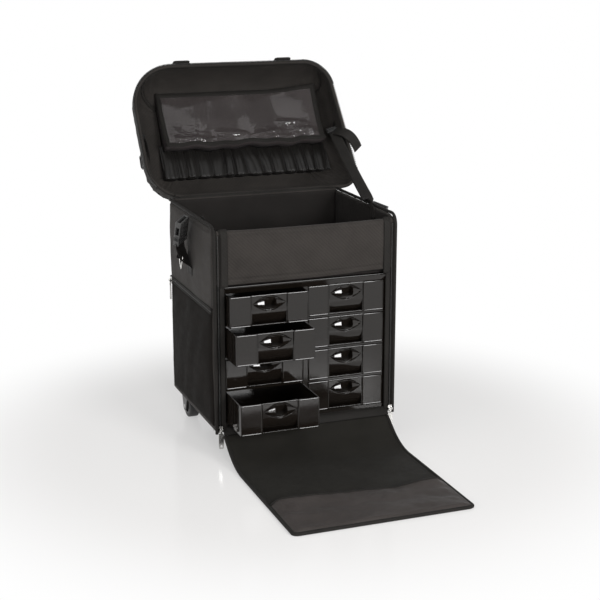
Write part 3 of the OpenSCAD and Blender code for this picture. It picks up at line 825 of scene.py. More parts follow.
form = Cut()
half = drawer_w / 2
form.block((-half + 0.001, wall_t, 0), (half - 0.001, drawer_d, wall_t), 0.0005)
for side in (-1, 1):
    form.block_on(side, (half - wall_t, 0.001, 0.0005), (half, drawer_d, drawer_h), 0.0007)
    form.block_on(side, (pad_in, 0, front_low), (half, 0.0028, drawer_h), 0.0010, 3)
    start, stop = sorted((side * pad_in, side * half))
    path = []
    for k, (in_x, in_z) in enumerate(((1, 1), (-1, 1), (-1, -1), (1, -1))):
        x = start + rim_r if in_x > 0 else stop - rim_r
        z = front_low + rim_r if in_z > 0 else drawer_h - rim_r
        turns = [(x, rim_y, z + in_z * rim_turn), (x + in_x * rim_turn, rim_y, z)]
        path += turns if k % 2 == 0 else turns[::-1]
    form.tube(path, rim_r, 10, loop=True, up=(0, 1, 0))
    form.block_on(side, (pad_in - 0.0012, 0.0012, front_low),
                  (pad_in + 0.0006, 0.0115, drawer_h - 0.002), 0.0003)
form.block((-half, drawer_d - wall_t, 0), (half, drawer_d, drawer_h), 0.0007)
form.pad(88, 72, lambda a, b: middle_skin(a, b, 0), lambda a, b: middle_skin(a, b, wall_t))
form.block((-pad_in, 0.0004, drawer_h - 0.0022), (pad_in, 0.0032, drawer_h), 0.0008)


def lens_skin(a, b):
    """Pull with a ridge along it: a runs along it, b from its lower edge over the ridge to its upper edge."""
    x = (a - 0.5) * 2 * lens_half
    lift = (b - 0.5) * 2
    rise = lift * lens_high * lens_slim(x)
    ridge = (lens_half - max(abs(x), scoop_half)) * wing_fall + min(lens_half - abs(x), wing_tip) * tip_fall
    proud = ridge - rise * (upper_fall if rise > 0 else -lower_fall)
    proud = max(0, proud) * math.sqrt(max(0, 1 - lift ** 12))
    cut = scoop_cut(x, lift)
    return Vector((x, face_y - proud * (1 - cut) + scoop_floor(lift) * cut, lens_z + rise))


def lens_back(a, b):
    p = lens_skin(a, b)
    return Vector((p.x, face_y + scoop_deep + wall_t, p.z))


form.pad(80, 32, lens_skin, lens_back)
column_x = 0.07875
shut_y = -0.135
lowest_z = 0.0664
row_pitch = 0.0605
for column, sign in (("left", -1), ("right", 1)):
    for row in range(1, 5):
        node = f"drawer_{column}_{row}"
        front_y = shut_y - open_by.get(node, 0)
        shift = Matrix.Translation((sign * column_x, front_y, lowest_z + (4 - row) * row_pitch))
        drawer = make(form, f"tray_{column}_{row}", node, moulding, [node], shift, crisp=35)
        drawer.modifiers.new("even_shading", "WEIGHTED_NORMAL").keep_sharp = True


# Wheels and feet: grey rubber tyres on dished hubs, turning on steel axles in black nylon cheeks,
# and two turned feet under the front edge that level the case.
def hard(name, dark, light, rough, metal=0.0, speck=0.002, relief=0.0):
    """Hard finish with fine mottling and uneven polish."""
    f = Finish(name)
    mottle = f.grain(speck, 4.0)
    wear = f.grain(0.02, 3.0)
    sockets = {
        "Base Color": f.mix(mottle, (*dark, 1), (*light, 1)),
        "Roughness": rough + (wear - 0.5) * 0.3 * rough + (mottle - 0.5) * 0.12,
        "Metallic": metal,
    }
    if relief:
        sockets["Normal"] = f.relief(mottle, relief, 0.5)
    return f.surface(sockets)


tread = hard("grey_tread", (0.035, 0.035, 0.036), (0.075, 0.074, 0.073), 0.6, 0.0, 0.0015, 0.0002)
hub_grey = hard("hub_nylon", (0.022, 0.022, 0.023), (0.04, 0.04, 0.041), 0.42)
satin_black = hard("satin_nylon", (0.011, 0.011, 0.011), (0.026, 0.0255, 0.025), 0.30, 0.0, 0.0009, 0.00008)
axle_steel = hard("axle_steel", (0.42, 0.42, 0.42), (0.58, 0.57, 0.56), 0.3, 1.0)
for end in ("left", "right"):
    rounded_node(f"wheel_tyre_{end}", tread, 0.0006)
    rounded_node(f"wheel_hub_{end}", hub_grey, 0.0005)
rounded_node("wheel_brackets", satin_black, 0.0007)
rounded_node("wheel_axles", axle_steel, 0.0004)
rounded_node("front_feet", satin_black, 0.0006)

# Pull-up handle: a screwed back plate with foot and yoke, two drawn sleeves, the inner tubes, and a moulded
# grip with its release button.
drawn_tube = hard("drawn_aluminium", (0.5, 0.5, 0.51), (0.64, 0.64, 0.65), 0.32, 1.0, 0.001)
rounded_node("handle_backplate", satin_black, 0.0010)
rounded_node("handle_sleeves", drawn_tube, 0.0003)
rounded_node("handle_tubes", drawn_tube, 0.0003)
rounded_node("handle_grip", satin_black, 0.0022)
rounded_node("handle_button", hub_grey, 0.0008)
screw_r = 0.0042
plate_y = 0.1470
cap_y = 0.1478
slot_y = 0.1481
screws = Cut()
for x in (-0.078, 0.078):
    for z in (0.084, 0.190, 0.288):
        turns = [math.tau * k / 20 for k in range(20)]
        ring = [(x + screw_r * math.cos(turn), 0.1474, z + screw_r * math.sin(turn)) for turn in turns]
        screws.tube(ring, 0.0007, 6, loop=True, up=(0, 1, 0))
        screws.tube([(x, plate_y, z), (x, cap_y, z)], 0.0040, 20, up=(1, 0, 0))
        for dx, dz in ((0.0026, 0.0005), (0.0005, 0.0026)):
            screws.block((x - dx, cap_y, z - dz), (x + dx, slot_y, z + dz), 0.0001, 1)
make(screws, "plate_screws", "case", axle_steel, (), crisp=40)

# Strap sets on the side walls: a tongue of webbing sewn to the wall carries a keeper with a bright triangular
# ring, and above it the socket half of a side-release buckle leans out on its own weight.
webbing = cloth("ribbed_webbing", (0.008, 0.0074, 0.0068), (0.034, 0.0310, 0.0285), 0.0019, 0.02, 0.55,
                0.0004)
bright = hard("plated_metal", (0.60, 0.59, 0.57), (0.74, 0.73, 0.71), 0.2, 1.0, 0.0008)
# The buckle's nylon is painted paler than the other black nylon parts: a painted sheen.
buckle_nylon_painted_sheen = hard("buckle_nylon_painted_sheen", (0.026, 0.026, 0.026), (0.075, 0.074, 0.073), 0.22, 0.0, 0.0018, 0.0003)
lean = math.radians(15.6)
swing = math.radians(42)
tip = math.radians(17)
tongue_run = ((0.1762, 0.312), (0.1768, 0.327), (0.1815, 0.336), (0.1884, 0.3465), (0.1920, 0.358),
              (0.1940, 0.3665), (0.1942, 0.379))
keeper_run = ((0.1892, 0.3455), (0.1945, 0.3452), (0.1966, 0.349), (0.1945, 0.3528), (0.1915, 0.3545))
tongue_w = 0.034
keeper_w = 0.020
wire_r = 0.00125
buckle_half = 0.016
buckle_rail = 0.0035
for side, end in sides:
    tongue = Cut()
    flare = Vector((-side * math.sin(swing), math.cos(swing), 0))
    band(tongue, curve([(side * x, 0, z) for x, z in tongue_run]),
         lambda s: Vector((0, 1, 0)).lerp(flare, smooth(0.1, 0.5, s)), tongue_w, 0.0021)
    band(tongue, curve([(side * x, 0, z) for x, z in keeper_run], 6), flare, keeper_w, 0.0014)
    for z in (0.3145, 0.3255):
        tongue.stitches([(side * 0.1774, -0.010 + 0.0042 * i, z) for i in range(6)], (side, 0, 0))
    make(tongue, f"strap_tongue_{end}", "case", webbing, ["strap_anchors"])
    pose = (Matrix.Translation((side * 0.194, 0, 0.374)) @ Matrix.Rotation(side * swing, 4, "Z")
            @ Matrix.Rotation(-side * lean, 4, "Y") @ Matrix.Rotation(tip, 4, "X"))
    socket = Cut()
    for y in (-buckle_half, buckle_half - buckle_rail):
        socket.block((-0.0055, y, 0.0), (0.0055, y + buckle_rail, 0.021), 0.0012, 3, pose)
        socket.block((-0.0045, y, 0.0175), (0.0045, y + buckle_rail, 0.0225), 0.0008, 2, pose)
        socket.block((-0.0045, y, 0.0385), (0.0045, y + buckle_rail, 0.0495), 0.0008, 2, pose)
    socket.block((-0.0050, -buckle_half, -0.0005), (0.0050, buckle_half, 0.0040), 0.0012, 3, pose)
    socket.block((-0.0055, -buckle_half, 0.0085), (0.0055, buckle_half, 0.0185), 0.0012, 3, pose)
    for cheek in (1, -1):
        socket.block_on(cheek, (0.0030, -buckle_half, 0.0175), (0.0058, buckle_half, 0.050), 0.0011, 3, pose)
    for z in (0.0225, 0.0265, 0.0305):
        for x in (-side * 0.0062, side * 0.0058):
            socket.block((x - 0.0008, -0.009, z), (x + 0.0008, 0.009, z + 0.0016), 0.0005, 2, pose)
    make(socket, f"buckle_socket_{end}", "case", buckle_nylon_painted_sheen, ["buckle_sockets"], crisp=50)
    wire = Cut()
    ring_at = Vector((side * 0.193, 0, 0.349))
    outline = ((0.0137, 0), (0.0006, -0.0247), (-0.0006, -0.0247), (-0.0137, 0))
    corners = [Vector((0, y, z)) for y, z in outline]
    path = []
    for here, there in zip(corners, corners[1:] + corners[:1]):
        path += [ring_at + here.lerp(there, k / 8) for k in range(1, 8)]
    wire.tube(path, wire_r, 10, loop=True, up=(1, 0, 0))
    make(wire, f"strap_ring_{end}", f"ring_{end}", bright, [f"ring_{end}"])

# Lid: a deep tray of foam board in nylon, drawn here shut and then tipped back about its hinge. Unzipped, its
# rim spreads wider than the case. Its gusset wall is eased round the corners in small pleats.
lid_open = math.radians(118)
LID = Matrix.Translation((0, wall_back_y, rim_z)) @ Matrix.Rotation(-lid_open, 4, "X")
lid_len = 0.273


def shut_with_lid(piece):
    """Gives a lid piece a mesh of its own. The spread rim, which the zip pulls in to the width of the case
    when the lid shuts, is left as it is.
    """
    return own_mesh(piece)


def half_outline(hinge, front, slant):
    """Centre, radius and outward way along one half of a rounded outline, from mid hinge to mid front.

    hinge and front are the places and radii of its two corners, slant the lean of the side between them."""
    walk = []

    def straight(a, b, turn, steps):
        for k in range(steps):
            centre = [p + (q - p) * k / steps for p, q in zip(a, b)]
            walk.append((*centre, math.cos(turn), math.sin(turn)))

    def bend(c, start, stop, steps):
        for k in range(steps):
            turn = start + (stop - start) * k / steps
            walk.append((*c, math.cos(turn), math.sin(turn)))

    straight((0, hinge[1], hinge[2]), hinge, -math.pi / 2, 20)
    bend(hinge, -math.pi / 2, slant, 16)
    straight(hinge, front, slant, 15)
    bend(front, slant, math.pi / 2, 18)
    straight(front, (0, front[1], front[2]), math.pi / 2, 19)
    walk.append((0, front[1], front[2], 0.0, 1.0))
    return walk


def lid_stations():
    """Once round the lid: its sewn outline, and the place of the loose rim, slipped to the right."""
    sewn_right = half_outline((0.146, 0.072, 0.072), (0.138, 0.187, 0.086), math.radians(-3.0))
    sewn_left = half_outline((0.136, 0.072, 0.072), (0.128, 0.187, 0.086), math.radians(-3.0))
    loose_right = half_outline((0.186, 0.036, 0.036), (0.146, 0.215, 0.058), math.radians(5.7))
    loose_left = half_outline((0.138, 0.072, 0.072), (0.128, 0.187, 0.086), math.radians(-2.0))
    right = [(*s, x + r * nx, u + r * nu) for s, (x, u, r, nx, nu) in zip(sewn_right, loose_right)]
    left = [(-s[0], s[1], s[2], -s[3], s[4], -x - r * nx, u + r * nu)
            for s, (x, u, r, nx, nu) in zip(sewn_left, loose_left)]
    return right + left[-2:0:-1]


stations = lid_stations()


def lid_point(station, inset, w):
    x, u, r, nx, nu, rim_x, rim_u = station
    rim = Vector((rim_x - inset * nx, -(rim_u - inset * nu), w))
    return rim.lerp(Vector((x + (r - inset) * nx, -(u + (r - inset) * nu), w)), smooth(0.006, 0.055, w))


def lid_skin(profile, top_w, seed, puff, inward):
    """Rings from the rim to the middle of the top, each a depth and an inset from the rim's outline."""
    rings = []
    for w, inset in profile:
        ring = []
        for i, s in enumerate(stations):
            p = lid_point(s, inset, w)
            lift = smooth(0.004, 0.03, w)
            bulge = puff * lift * crease(p, 0.075, seed) + 0.35 * puff * crease(p, 0.022, seed + 3) * lift
            pleat = 0.0022 * inward * lift * math.sin(i * 1.9) * abs(s[3] * s[4]) * 2
            ring.append(p + Vector((s[3], -s[4], 0.3)) * (bulge + pleat))
        rings.append(ring)
    last = rings[-1]
    middle = Vector((0, -0.132, top_w))
    for share in (0.86, 0.7, 0.5, 0.3, 0.12):
        ring = []
        for p in last:
            q = middle + (Vector((p.x, p.y, 0)) - Vector((middle.x, middle.y, 0))) * share
            q.z = top_w + (last[0].z - top_w) * smooth(0.6, 1.0, share) + puff * crease(q, 0.06, seed + 5)
            ring.append(q)
        rings.append(ring)
    return rings


outside = [(0.0012, 0.0006), (0.008, 0.0), (0.020, 0.0008), (0.034, 0.0030), (0.047, 0.0068),
           (0.058, 0.0118), (0.067, 0.0180), (0.0745, 0.0252), (0.0795, 0.0325), (0.0830, 0.041),
           (0.0848, 0.050)]
inside = [(0.0012, 0.0050), (0.008, 0.0056), (0.020, 0.0064), (0.032, 0.0086), (0.044, 0.0122),
          (0.054, 0.0168), (0.063, 0.0232), (0.0700, 0.0305), (0.0750, 0.0385), (0.0780, 0.0470),
          (0.0794, 0.056)]
lid_top_w = 0.0862
lid_floor_w = 0.0796
lid_cut = Cut()
skin_in = lid_skin(inside, lid_floor_w, 11, 0.0011, -1)
skin_out = lid_skin(outside, lid_top_w, 7, 0.0012, 1)
rings = list(reversed(skin_in)) + skin_out
count = len(stations)
final = len(rings) - 1
lid_cut.sheet(final, count, lambda a, b: rings[round(a * final)][round(b * count) % count], wrap=True)
lid_cut.faces.append(tuple(range(count)))
lid_cut.faces.append(tuple(final * count + k for k in reversed(range(count))))
lid_cloth = cloth("lid_twill", (0.010, 0.0090, 0.0082), (0.054, 0.0480, 0.0435), 0.0017, 0.02)
lid = make(lid_cut, "lid_tray", "lid", lid_cloth, ["lid_shell"], LID)
shut_with_lid(lid)

# Trim of the lid: a bound edge round the rim, the zip tape with its teeth round three sides of it, piping
# where the gusset meets the top panel, bound seams in the front corners, a sewn roll of tape at the hinge.
rim_bead_r = 0.0040
seam_r = 0.0017
piping_r = 0.0025
bound = Cut()
bound.tube([lid_point(s, 0.0030, 0.0048) for s in stations], rim_bead_r, 10, loop=True, flat=0.85)
for s in stations:
    if s[1] > 0.18 and 0.62 < s[4] < 0.70:
        bound.tube([lid_point(s, inset + 0.0004, w) for w, inset in inside[1:]], seam_r, 8)
bound.tube([lid_point(s, 0.0156, 0.0650) for s in stations], piping_r, 8, loop=True)
shut_with_lid(make(bound, "lid_binding", "lid", tape, ["lid_rim_zip"], LID))
zip_out = -0.0012
front_run = [s for s in stations if s[1] + s[2] * s[4] > 0.022]
front_run.sort(key=lambda s: s[0] + s[2] * s[3] < 0)
runner = Cut()


def tape_at(a, b):
    """Zip tape along the rim: a runs round it, b from its edge up the gusset."""
    station = front_run[round(a * (len(front_run) - 1))]
    return lid_point(station, zip_out - 0.0006 * math.sin(b * 3.14), 0.004 + b * 0.0115)


runner.sheet(len(front_run) - 1, 4, tape_at)
shut_with_lid(make(runner, "lid_zip_tape", "lid", tape, (), LID))
row = Cut()
for here, there in zip(front_run, front_run[1:]):
    a = lid_point(here, zip_out, 0.0030)
    b = lid_point(there, zip_out, 0.0030)
    way = (b - a).normalized()
    turn = Matrix((way, Vector((0, 0, 1)).cross(way), (0, 0, 1))).transposed().to_4x4()
    for k in range(3):
        tooth = Matrix.Translation(a.lerp(b, k / 3)) @ turn
        row.block((-0.0007, -0.0016, -0.0018), (0.0007, 0.0014, 0.0018), 0.0004, 1, tooth)
shut_with_lid(make(row, "lid_zip_teeth", "lid", zip_teeth, (), LID))
hinge_w = 0.300
hinge_t = 0.0018
hinge_r = 0.0027
roll = Cut()
roll.tube([(hinge_w * (k / 6 - 0.5), wall_back_y, rim_z) for k in range(7)], hinge_r, 12)
down_wall = [(0, 0.1436, 0.4080), (0, 0.1438, 0.4160), (0, 0.1434, 0.4240), (0, wall_back_y, rim_z)]
band(roll, down_wall, (1, 0, 0), hinge_w, hinge_t)
make(roll, "lid_hinge_roll", "case", tape, ())
leaf = Cut()
up_lid = [(0, 0, 0), (0, 0.0012, 0.0060), (0, 0.0014, 0.0140), (0, 0.0010, 0.0220)]
band(leaf, up_lid, (1, 0, 0), hinge_w, hinge_t)
shut_with_lid(make(leaf, "lid_hinge_leaf", "lid", tape, (), LID))

# Pocket board in the lid: a pouch of grey lining with a broad black binding, sewn down along its upper edge
# and standing off along its lower one. A clear soft sheet, crinkled where it was creased, closes its front.
pouch_left = -0.152
pouch_right = 0.182
pouch_low = 0.116
pouch_high = 0.240


def pouch_face(a, b, lift=0.0):
    """Place on the pouch's front: a from left to right, b from its lower edge to its upper one."""
    x = pouch_left + a * (pouch_right - pouch_left)
    wave = (0.0022 * math.sin(a * 15.5) + 0.0016 * math.sin(a * 37 + 1)) * (1 - b) ** 3
    u = pouch_low + b * (pouch_high - pouch_low) + wave
    bow = 0.003 * math.sin(math.pi * b) + 0.0012 * crease((x, u, 0), 0.06, 21)
    stand_off = 0.027 * (1 - b) + 0.006 * max(0, 1 - b / 0.28) ** 2 + 0.020 * smooth(0.70, 1.0, a) * b
    w = 0.0700 - stand_off + bow - lift + 0.004 * math.sin(a * 15.5 + 0.8) * (1 - b) ** 4
    return Vector((x, -u, min(w, 0.0765)))


def pouch_back(a, b):
    p = pouch_face(a, b)
    return Vector((p.x, p.y, min(0.0785, p.z + 0.0062 + 0.030 * (1 - b))))


pouch_cut = Cut()
pouch_cut.pad(48, 72, lambda r, c: pouch_face(c, r, -0.0022), lambda r, c: pouch_back(c, r))
pouch_board = make(pouch_cut, "lid_pouch", "lid", lining, ["lid_pocket"], LID)
shut_with_lid(pouch_board)
binding_cut = Cut()
binding_w = 0.0100
binding_a = binding_w / (pouch_right - pouch_left)
binding_b = binding_w / (pouch_high - pouch_low)
for ends, inward in ((((0, 0), (1, 0)), (0, 1)), (((0, 1), (1, 1)), (0, -1)), (((0, 0), (0, 1)), (1, 0)),
                     (((1, 0), (1, 1)), (-1, 0))):
    def binding_at(r, c, lift):
        (a0, b0), (a1, b1) = ends
        roll = math.sqrt(max(0, 1 - (2 * c - 1) ** 4))
        a = a0 + (a1 - a0) * r + inward[0] * c * binding_a
        b = b0 + (b1 - b0) * r + inward[1] * c * binding_b
        return pouch_face(a, b, lift * roll)

    binding_cut.pad(80, 6, lambda r, c: binding_at(r, c, 0.0022), lambda r, c: binding_at(r, c, -0.0016))
for b in (binding_b * 0.8, 1 - binding_b * 0.8):
    binding_cut.stitches([pouch_face(0.03 + 0.94 * i / 100, b, 0.0020) for i in range(101)], (0, 0, -1))
shut_with_lid(make(binding_cut, "lid_pouch_binding", "lid", tape, (), LID))

film = Finish("clear_soft_sheet")
haze = film.grain(0.035, 3.0)
scuff = film.grain(0.004, 2.0)
clear_sheet = film.surface({
    "Base Color": film.mix(haze, (0.050, 0.043, 0.042, 1), (0.115, 0.101, 0.099, 1)),
    "Roughness": 0.05 + scuff * 0.07,
    "Alpha": 0.36 + haze * 0.22,
    "Normal": film.relief(haze, 0.002, 0.4),
    "Specular IOR Level": 0.7,
})
film_folds = ((0.84, 0.34, -0.5), (0.91, 0.16, -0.7), (0.66, 0.15, 0.5), (0.42, 0.18, -0.4),
              (0.14, 0.09, -0.4))


def film_at(a, b):
    """Clear sheet inside the binding, with sharp crinkles towards its lower corners."""
    p = pouch_face(0.026 + 0.948 * a, 0.07 + 0.86 * b, 0.0004)
    ends = smooth(0.45, 0.05, a) * 0.8 + smooth(0.5, 0.95, a)
    low = smooth(0.55, 0.05, b) * ends + 0.4 * smooth(0.3, 0.02, b)
    ridge = 1 - abs(crease((p.x, p.y * 1.9, 0), 0.019, 31))
    fold = 1 - abs(crease((p.x * 0.5 + p.y, p.y * 1.4, 0), 0.026, 37))
    edge = min(1, min(a, 1 - a, b, 1 - b) / 0.05)
    rise = (0.0034 * ridge ** 5 + 0.0024 * fold ** 6) * low + 0.0016 * crease(p, 0.05, 41)
    for at, height, tilt in film_folds:
        line = height + tilt * (a - at) - 4 * (a - at) ** 2
        rise += 0.0043 * smooth(0.13, 0.04, abs(a - at)) * math.exp(-(((b - line) / 0.06) ** 2))
    return p - Vector((0, 0, rise * edge))


film_cut = Cut()
film_cut.sheet(70, 150, lambda r, c: film_at(c, r))
window = make(film_cut, "lid_clear_window", "lid", clear_sheet, ["lid_window"], LID)
shut_with_lid(window)

# Brush loops under the pouch: one strip of shiny black nylon, gathered and sewn down in fourteen channels,
# with a rolled hem along its open lower edge.
loop_cloth = cloth("loop_satin", (0.004, 0.0036, 0.0033), (0.018, 0.0162, 0.0147), 0.0006, 0.02, 0.36, 0.0001,
                   gloss=0.35)
loop_count = 14
loop_low = 0.062
loop_high = 0.132


def loop_face(a, b):
    """Gathered strip: a from left to right, b from the hem up to the pouch."""
    slant = 0.5 * crease((a * 6, b * 0.4, 0), 1.0, 51) * (1 - b)
    phase = a * loop_count + 0.34 * crease((a * 9, 0, 0), 1.0, 47) + slant
    puffed = abs(math.sin(math.pi * phase)) ** 0.45
    second = abs(math.sin(math.tau * phase + 1.3 + 1.5 * crease((a * 4, b, 0), 1.0, 53)))
    size = 0.8 + 0.4 * crease((a * 11, 0, 0), 1.0, 57)
    full = 0.45 + 0.55 * smooth(1.0, 0.25, b)
    x = pouch_left - 0.006 + a * (pouch_right - pouch_left + 0.014)
    u = loop_low + b * (loop_high - loop_low) - 0.0035 * puffed * (1 - b) ** 2
    return Vector((x, -u, 0.0772 - 0.010 * (1 - b) - (0.0135 * puffed * size + 0.0018 * second) * full))


def loop_back(a, b):
    p = loop_face(a, b)
    return Vector((p.x, p.y, 0.0790))


loop_steps = 312
loop_cut = Cut()
loop_cut.pad(26, loop_steps, lambda r, c: loop_face(c, r), lambda r, c: loop_back(c, r))
loop_hem = [loop_face(i / loop_steps, 0) + Vector((0, 0.0006, 0)) for i in range(loop_steps + 1)]
loop_cut.tube(loop_hem, 0.0013, 7)
loops = make(loop_cut, "brush_loop_strip", "lid", loop_cloth, ["brush_loops"], LID)
shut_with_lid(loops)

# Straps over the lid: two bands of webbing sewn from the front edge over the top to the hinge side, each
# folded to a stiff tab at the front, and a padded grab handle bowed between them.
strap_x = 0.106
strap_w = 0.032
strap_t = 0.0024
over = Cut()
up_front = [(lid_len - inset, w) for w, inset in outside[1:]]
down_back = [(inset, w) for w, inset in reversed(outside[2:])]
section = up_front + [(0.200, lid_top_w), (0.136, 0.0866), (0.075, lid_top_w)] + down_back
tab_run = ((-0.0005, 0.016), (0.0030, 0.006), (0.0052, 0.0015), (0.0072, 0.003), (0.0070, 0.012),
           (0.0040, 0.0225))
for side in (-1, 1):
    run = []
    for i, (u, w) in enumerate(section):
        before = section[max(0, i - 1)]
        after = section[min(len(section) - 1, i + 1)]
        out = Vector((after[1] - before[1], before[0] - after[0])).normalized()
        run.append((side * strap_x, -(u + out.x * 0.0016), w + out.y * 0.0016))
    strap = curve(run, 4)
    band(over, strap, (1, 0, 0), strap_w, strap_t)
    for edge_x in (-0.0135, 0.0135):
        over.stitches([p + Vector((edge_x, 0, 0.0012)) for p in strap[30:70]], (0, 0, 1))
    tab = [(side * strap_x, -lid_len - out, w) for out, w in tab_run]
    band(over, curve(tab, 6), (1, 0, 0), strap_w, strap_t)
shut_with_lid(make(over, "lid_straps_sewn", "lid", webbing, ["lid_straps"], LID))
grab_y = -lid_len / 2
grab_w = 0.030
grab_rise = 0.0225
wrap_r = 0.0135
patch_w = 0.031
grab = Cut()
bow = []
for i in range(41):
    share = i / 20 - 1
    bow.append((strap_x * share, grab_y, 0.0885 + grab_rise * (1 - share ** 2) ** 0.8))
band(grab, bow, (0, 1, 0), grab_w, 0.0026)
grab.tube(bow[10:31], wrap_r, 14, flat=0.30)
for side in (-1, 1):
    for x in (-0.012, 0.012):
        row = [(side * strap_x + x, grab_y - 0.012 + 0.0042 * k, 0.0905) for k in range(6)]
        grab.stitches(row, (0, 0, 1))
    patch = [(side * (strap_x + along), grab_y, 0.0892) for along in (-0.018, -0.009, 0.0, 0.009, 0.018)]
    band(grab, patch, (0, 1, 0), patch_w, 0.0020)
shut_with_lid(make(grab, "grab_handle", "lid", webbing, ["carry_handle"], LID))

# Plug halves of the side buckles: each hangs on a short tab sewn to the lid's side, with two sprung prongs
# and a guide tongue between them.
plug_x = 0.2062
plug_u = 0.090
plug_tilt = math.radians(9)
plug_tab_w = 0.025
slip = {-1: 0.0, 1: 0.0115}
hang_run = ((0.1915, 0.068), (0.1975, 0.058), (0.2022, 0.050), (0.2082, 0.0425))
plugs = Cut()
tabs = Cut()
for side in (-1, 1):
    at_rim = Matrix.Translation((side * (plug_x + slip[side]), -plug_u, 0.014))
    pose = at_rim @ Matrix.Rotation(-side * plug_tilt, 4, "Y")
    plugs.block_on(side, (-0.0010, -0.0125, 0.0225), (0.0050, 0.0125, 0.0385), 0.0016, 3, pose)
    plugs.block_on(side, (-0.0005, -0.0140, 0.0200), (0.0055, 0.0140, 0.0245), 0.0016, 3, pose)
    for low, high in ((-0.0135, -0.0095), (0.0095, 0.0135)):
        plugs.block_on(side, (0.0005, low, -0.0010), (0.0045, high, 0.0210), 0.0014, 3, pose)
    for low, high in ((-0.0150, -0.0090), (0.0090, 0.0150)):
        plugs.block_on(side, (0.0008, low, -0.0030), (0.0042, high, 0.0060), 0.0016, 3, pose)
    plugs.block_on(side, (0.0012, -0.0030, 0.0020), (0.0040, 0.0030, 0.0210), 0.0012, 3, pose)
    hang = [(side * (x + slip[side]), -plug_u, w) for x, w in hang_run]
    band(tabs, curve(hang, 5), (0, 1, 0), plug_tab_w, 0.0022)
prongs = make(plugs, "buckle_plug_halves", "lid", satin_black, ["buckle_plugs"], LID, crisp=50)
shut_with_lid(prongs)
shut_with_lid(make(tabs, "buckle_plug_tabs", "lid", webbing, (), LID))

# Lid stays: a band of webbing from each side wall's rim to a ladder lock sewn inside the lid, where its spare
# end comes back out of the lock. The right one is taut; the left one is let out, and lies down the lid's side
# and the wall.
stay_foot = Vector((0.163, -0.052, 0.426))
stay_head = Vector((0.199, 0.2291, 0.5269))
stay_w = 0.021
stay_t = 0.0017
loose_w = 0.018
sewn_w = 0.020
sewn_t = 0.0018
lock_half = 0.0130
lock_bar = 0.0028
on_wall = [(-0.1625, -0.040, 0.392), (-0.1622, 0.010, 0.354), (-0.1620, 0.065, 0.346),
           (-0.1618, 0.108, 0.376), (-0.1612, 0.130, 0.412), (-0.1615, 0.1395, 0.4285)]
on_lid = [(-0.1650, -0.012, 0.010), (-0.1815, -0.022, 0.015), (-0.1955, -0.042, 0.020),
          (-0.2008, -0.072, 0.025), (-0.2012, -0.100, 0.028), (-0.1980, -0.124, 0.030)]
over_rim = [(0.199, -0.128, 0.028), (0.203, -0.120, 0.009), (0.211, -0.110, -0.004),
            (0.221, -0.099, -0.005), (0.231, -0.088, 0.003), (0.237, -0.081, 0.011)]
for side, end in sides:
    mirror = Matrix.Diagonal((side, 1, 1, 1))
    foot = mirror @ stay_foot
    head = mirror @ stay_head
    line = (head - foot).normalized()
    broad = line.cross(Vector((side, 0, 0))).normalized()
    facing = Vector((0.91, -0.24, 0.34)) if side > 0 else broad
    web = Cut()
    if side > 0:
        taut = []
        for i in range(25):
            share = i / 24
            taut.append(foot.lerp(head, share) - Vector((0, 0, 0.004 * math.sin(math.pi * share))))
        band(web, taut, lambda s: broad.lerp(facing, smooth(0.0, 0.12, s)), stay_w, stay_t)
    else:
        band(web, curve([foot - Vector((0, 0, 0.004)), *on_wall], 6), (0, 0.55, 0.83), loose_w, stay_t)
        let_out = Cut()
        band(let_out, curve(on_lid, 6), (0.25, 0.0, 0.97), loose_w, stay_t)
        slack_end = make(let_out, "lid_stay_left_slack", "lid", webbing, (), LID)
        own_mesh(slack_end)
    down = ((0.0008, 0.010, 0.002), (0.0010, -0.001, -0.004), (0.0012, -0.002, -0.024))
    root = [foot + mirror @ Vector(step) for step in down]
    band(web, curve(root, 5), (0, 1, -0.1), sewn_w, sewn_t)
    for z in (0.4055, 0.417):
        web.stitches([(side * 0.1631, -0.060 + 0.0042 * k, z) for k in range(5)], (-side, 0, 0))
    stay = make(web, f"lid_stay_{end}", "case", webbing, [f"stay_{end}"])
    if side > 0:
        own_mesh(stay)
    lock = Cut()
    across = (facing - line * facing.dot(line)).normalized()
    face = line.cross(across).normalized()
    turn = Matrix((across, face, line)).transposed().to_4x4()
    pose = Matrix.Translation(head) @ turn
    for z0, z1, depth in ((0.0, 0.0026, 0.0026), (0.0056, 0.0082, 0.0022), (0.0110, 0.0160, 0.0028)):
        lock.block((-lock_half, -depth, z0), (lock_half, depth, z1), 0.0010, 3, pose)
    for x in (-lock_half, lock_half - lock_bar):
        lock.block((x, -0.0024, 0.0), (x + lock_bar, 0.0024, 0.0160), 0.0010, 3, pose)
    locked = make(lock, f"ladder_lock_{end}", "lid", satin_black, ["ladder_locks"], crisp=50)
    shut_with_lid(locked)
    spare = Cut()
    drift = 0.013 if side > 0 else 0.009
    sewn = [head + line * 0.0135, head + line * 0.026 + Vector((0.46 * drift, 0, 0.002)),
            head + line * 0.040 + Vector((drift, 0, 0.006))]
    band(spare, curve(sewn, 5), broad, sewn_w, sewn_t)
    if side > 0:
        tail = [LID @ Vector(spot) for spot in over_rim]
        band(spare, curve(tail, 8), (0.70, -0.06, 0.68), sewn_w, stay_t)
    else:
        tail = [(-0.199, 0.2300, 0.5285), (-0.1970, 0.2100, 0.5150), (-0.1950, 0.1980, 0.4960)]
        band(spare, curve(tail, 8), (0.12, 0.25, 0.96), sewn_w, stay_t)
    spare_end = make(spare, f"stay_spare_end_{end}", "lid", webbing, ())
    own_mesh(spare_end)

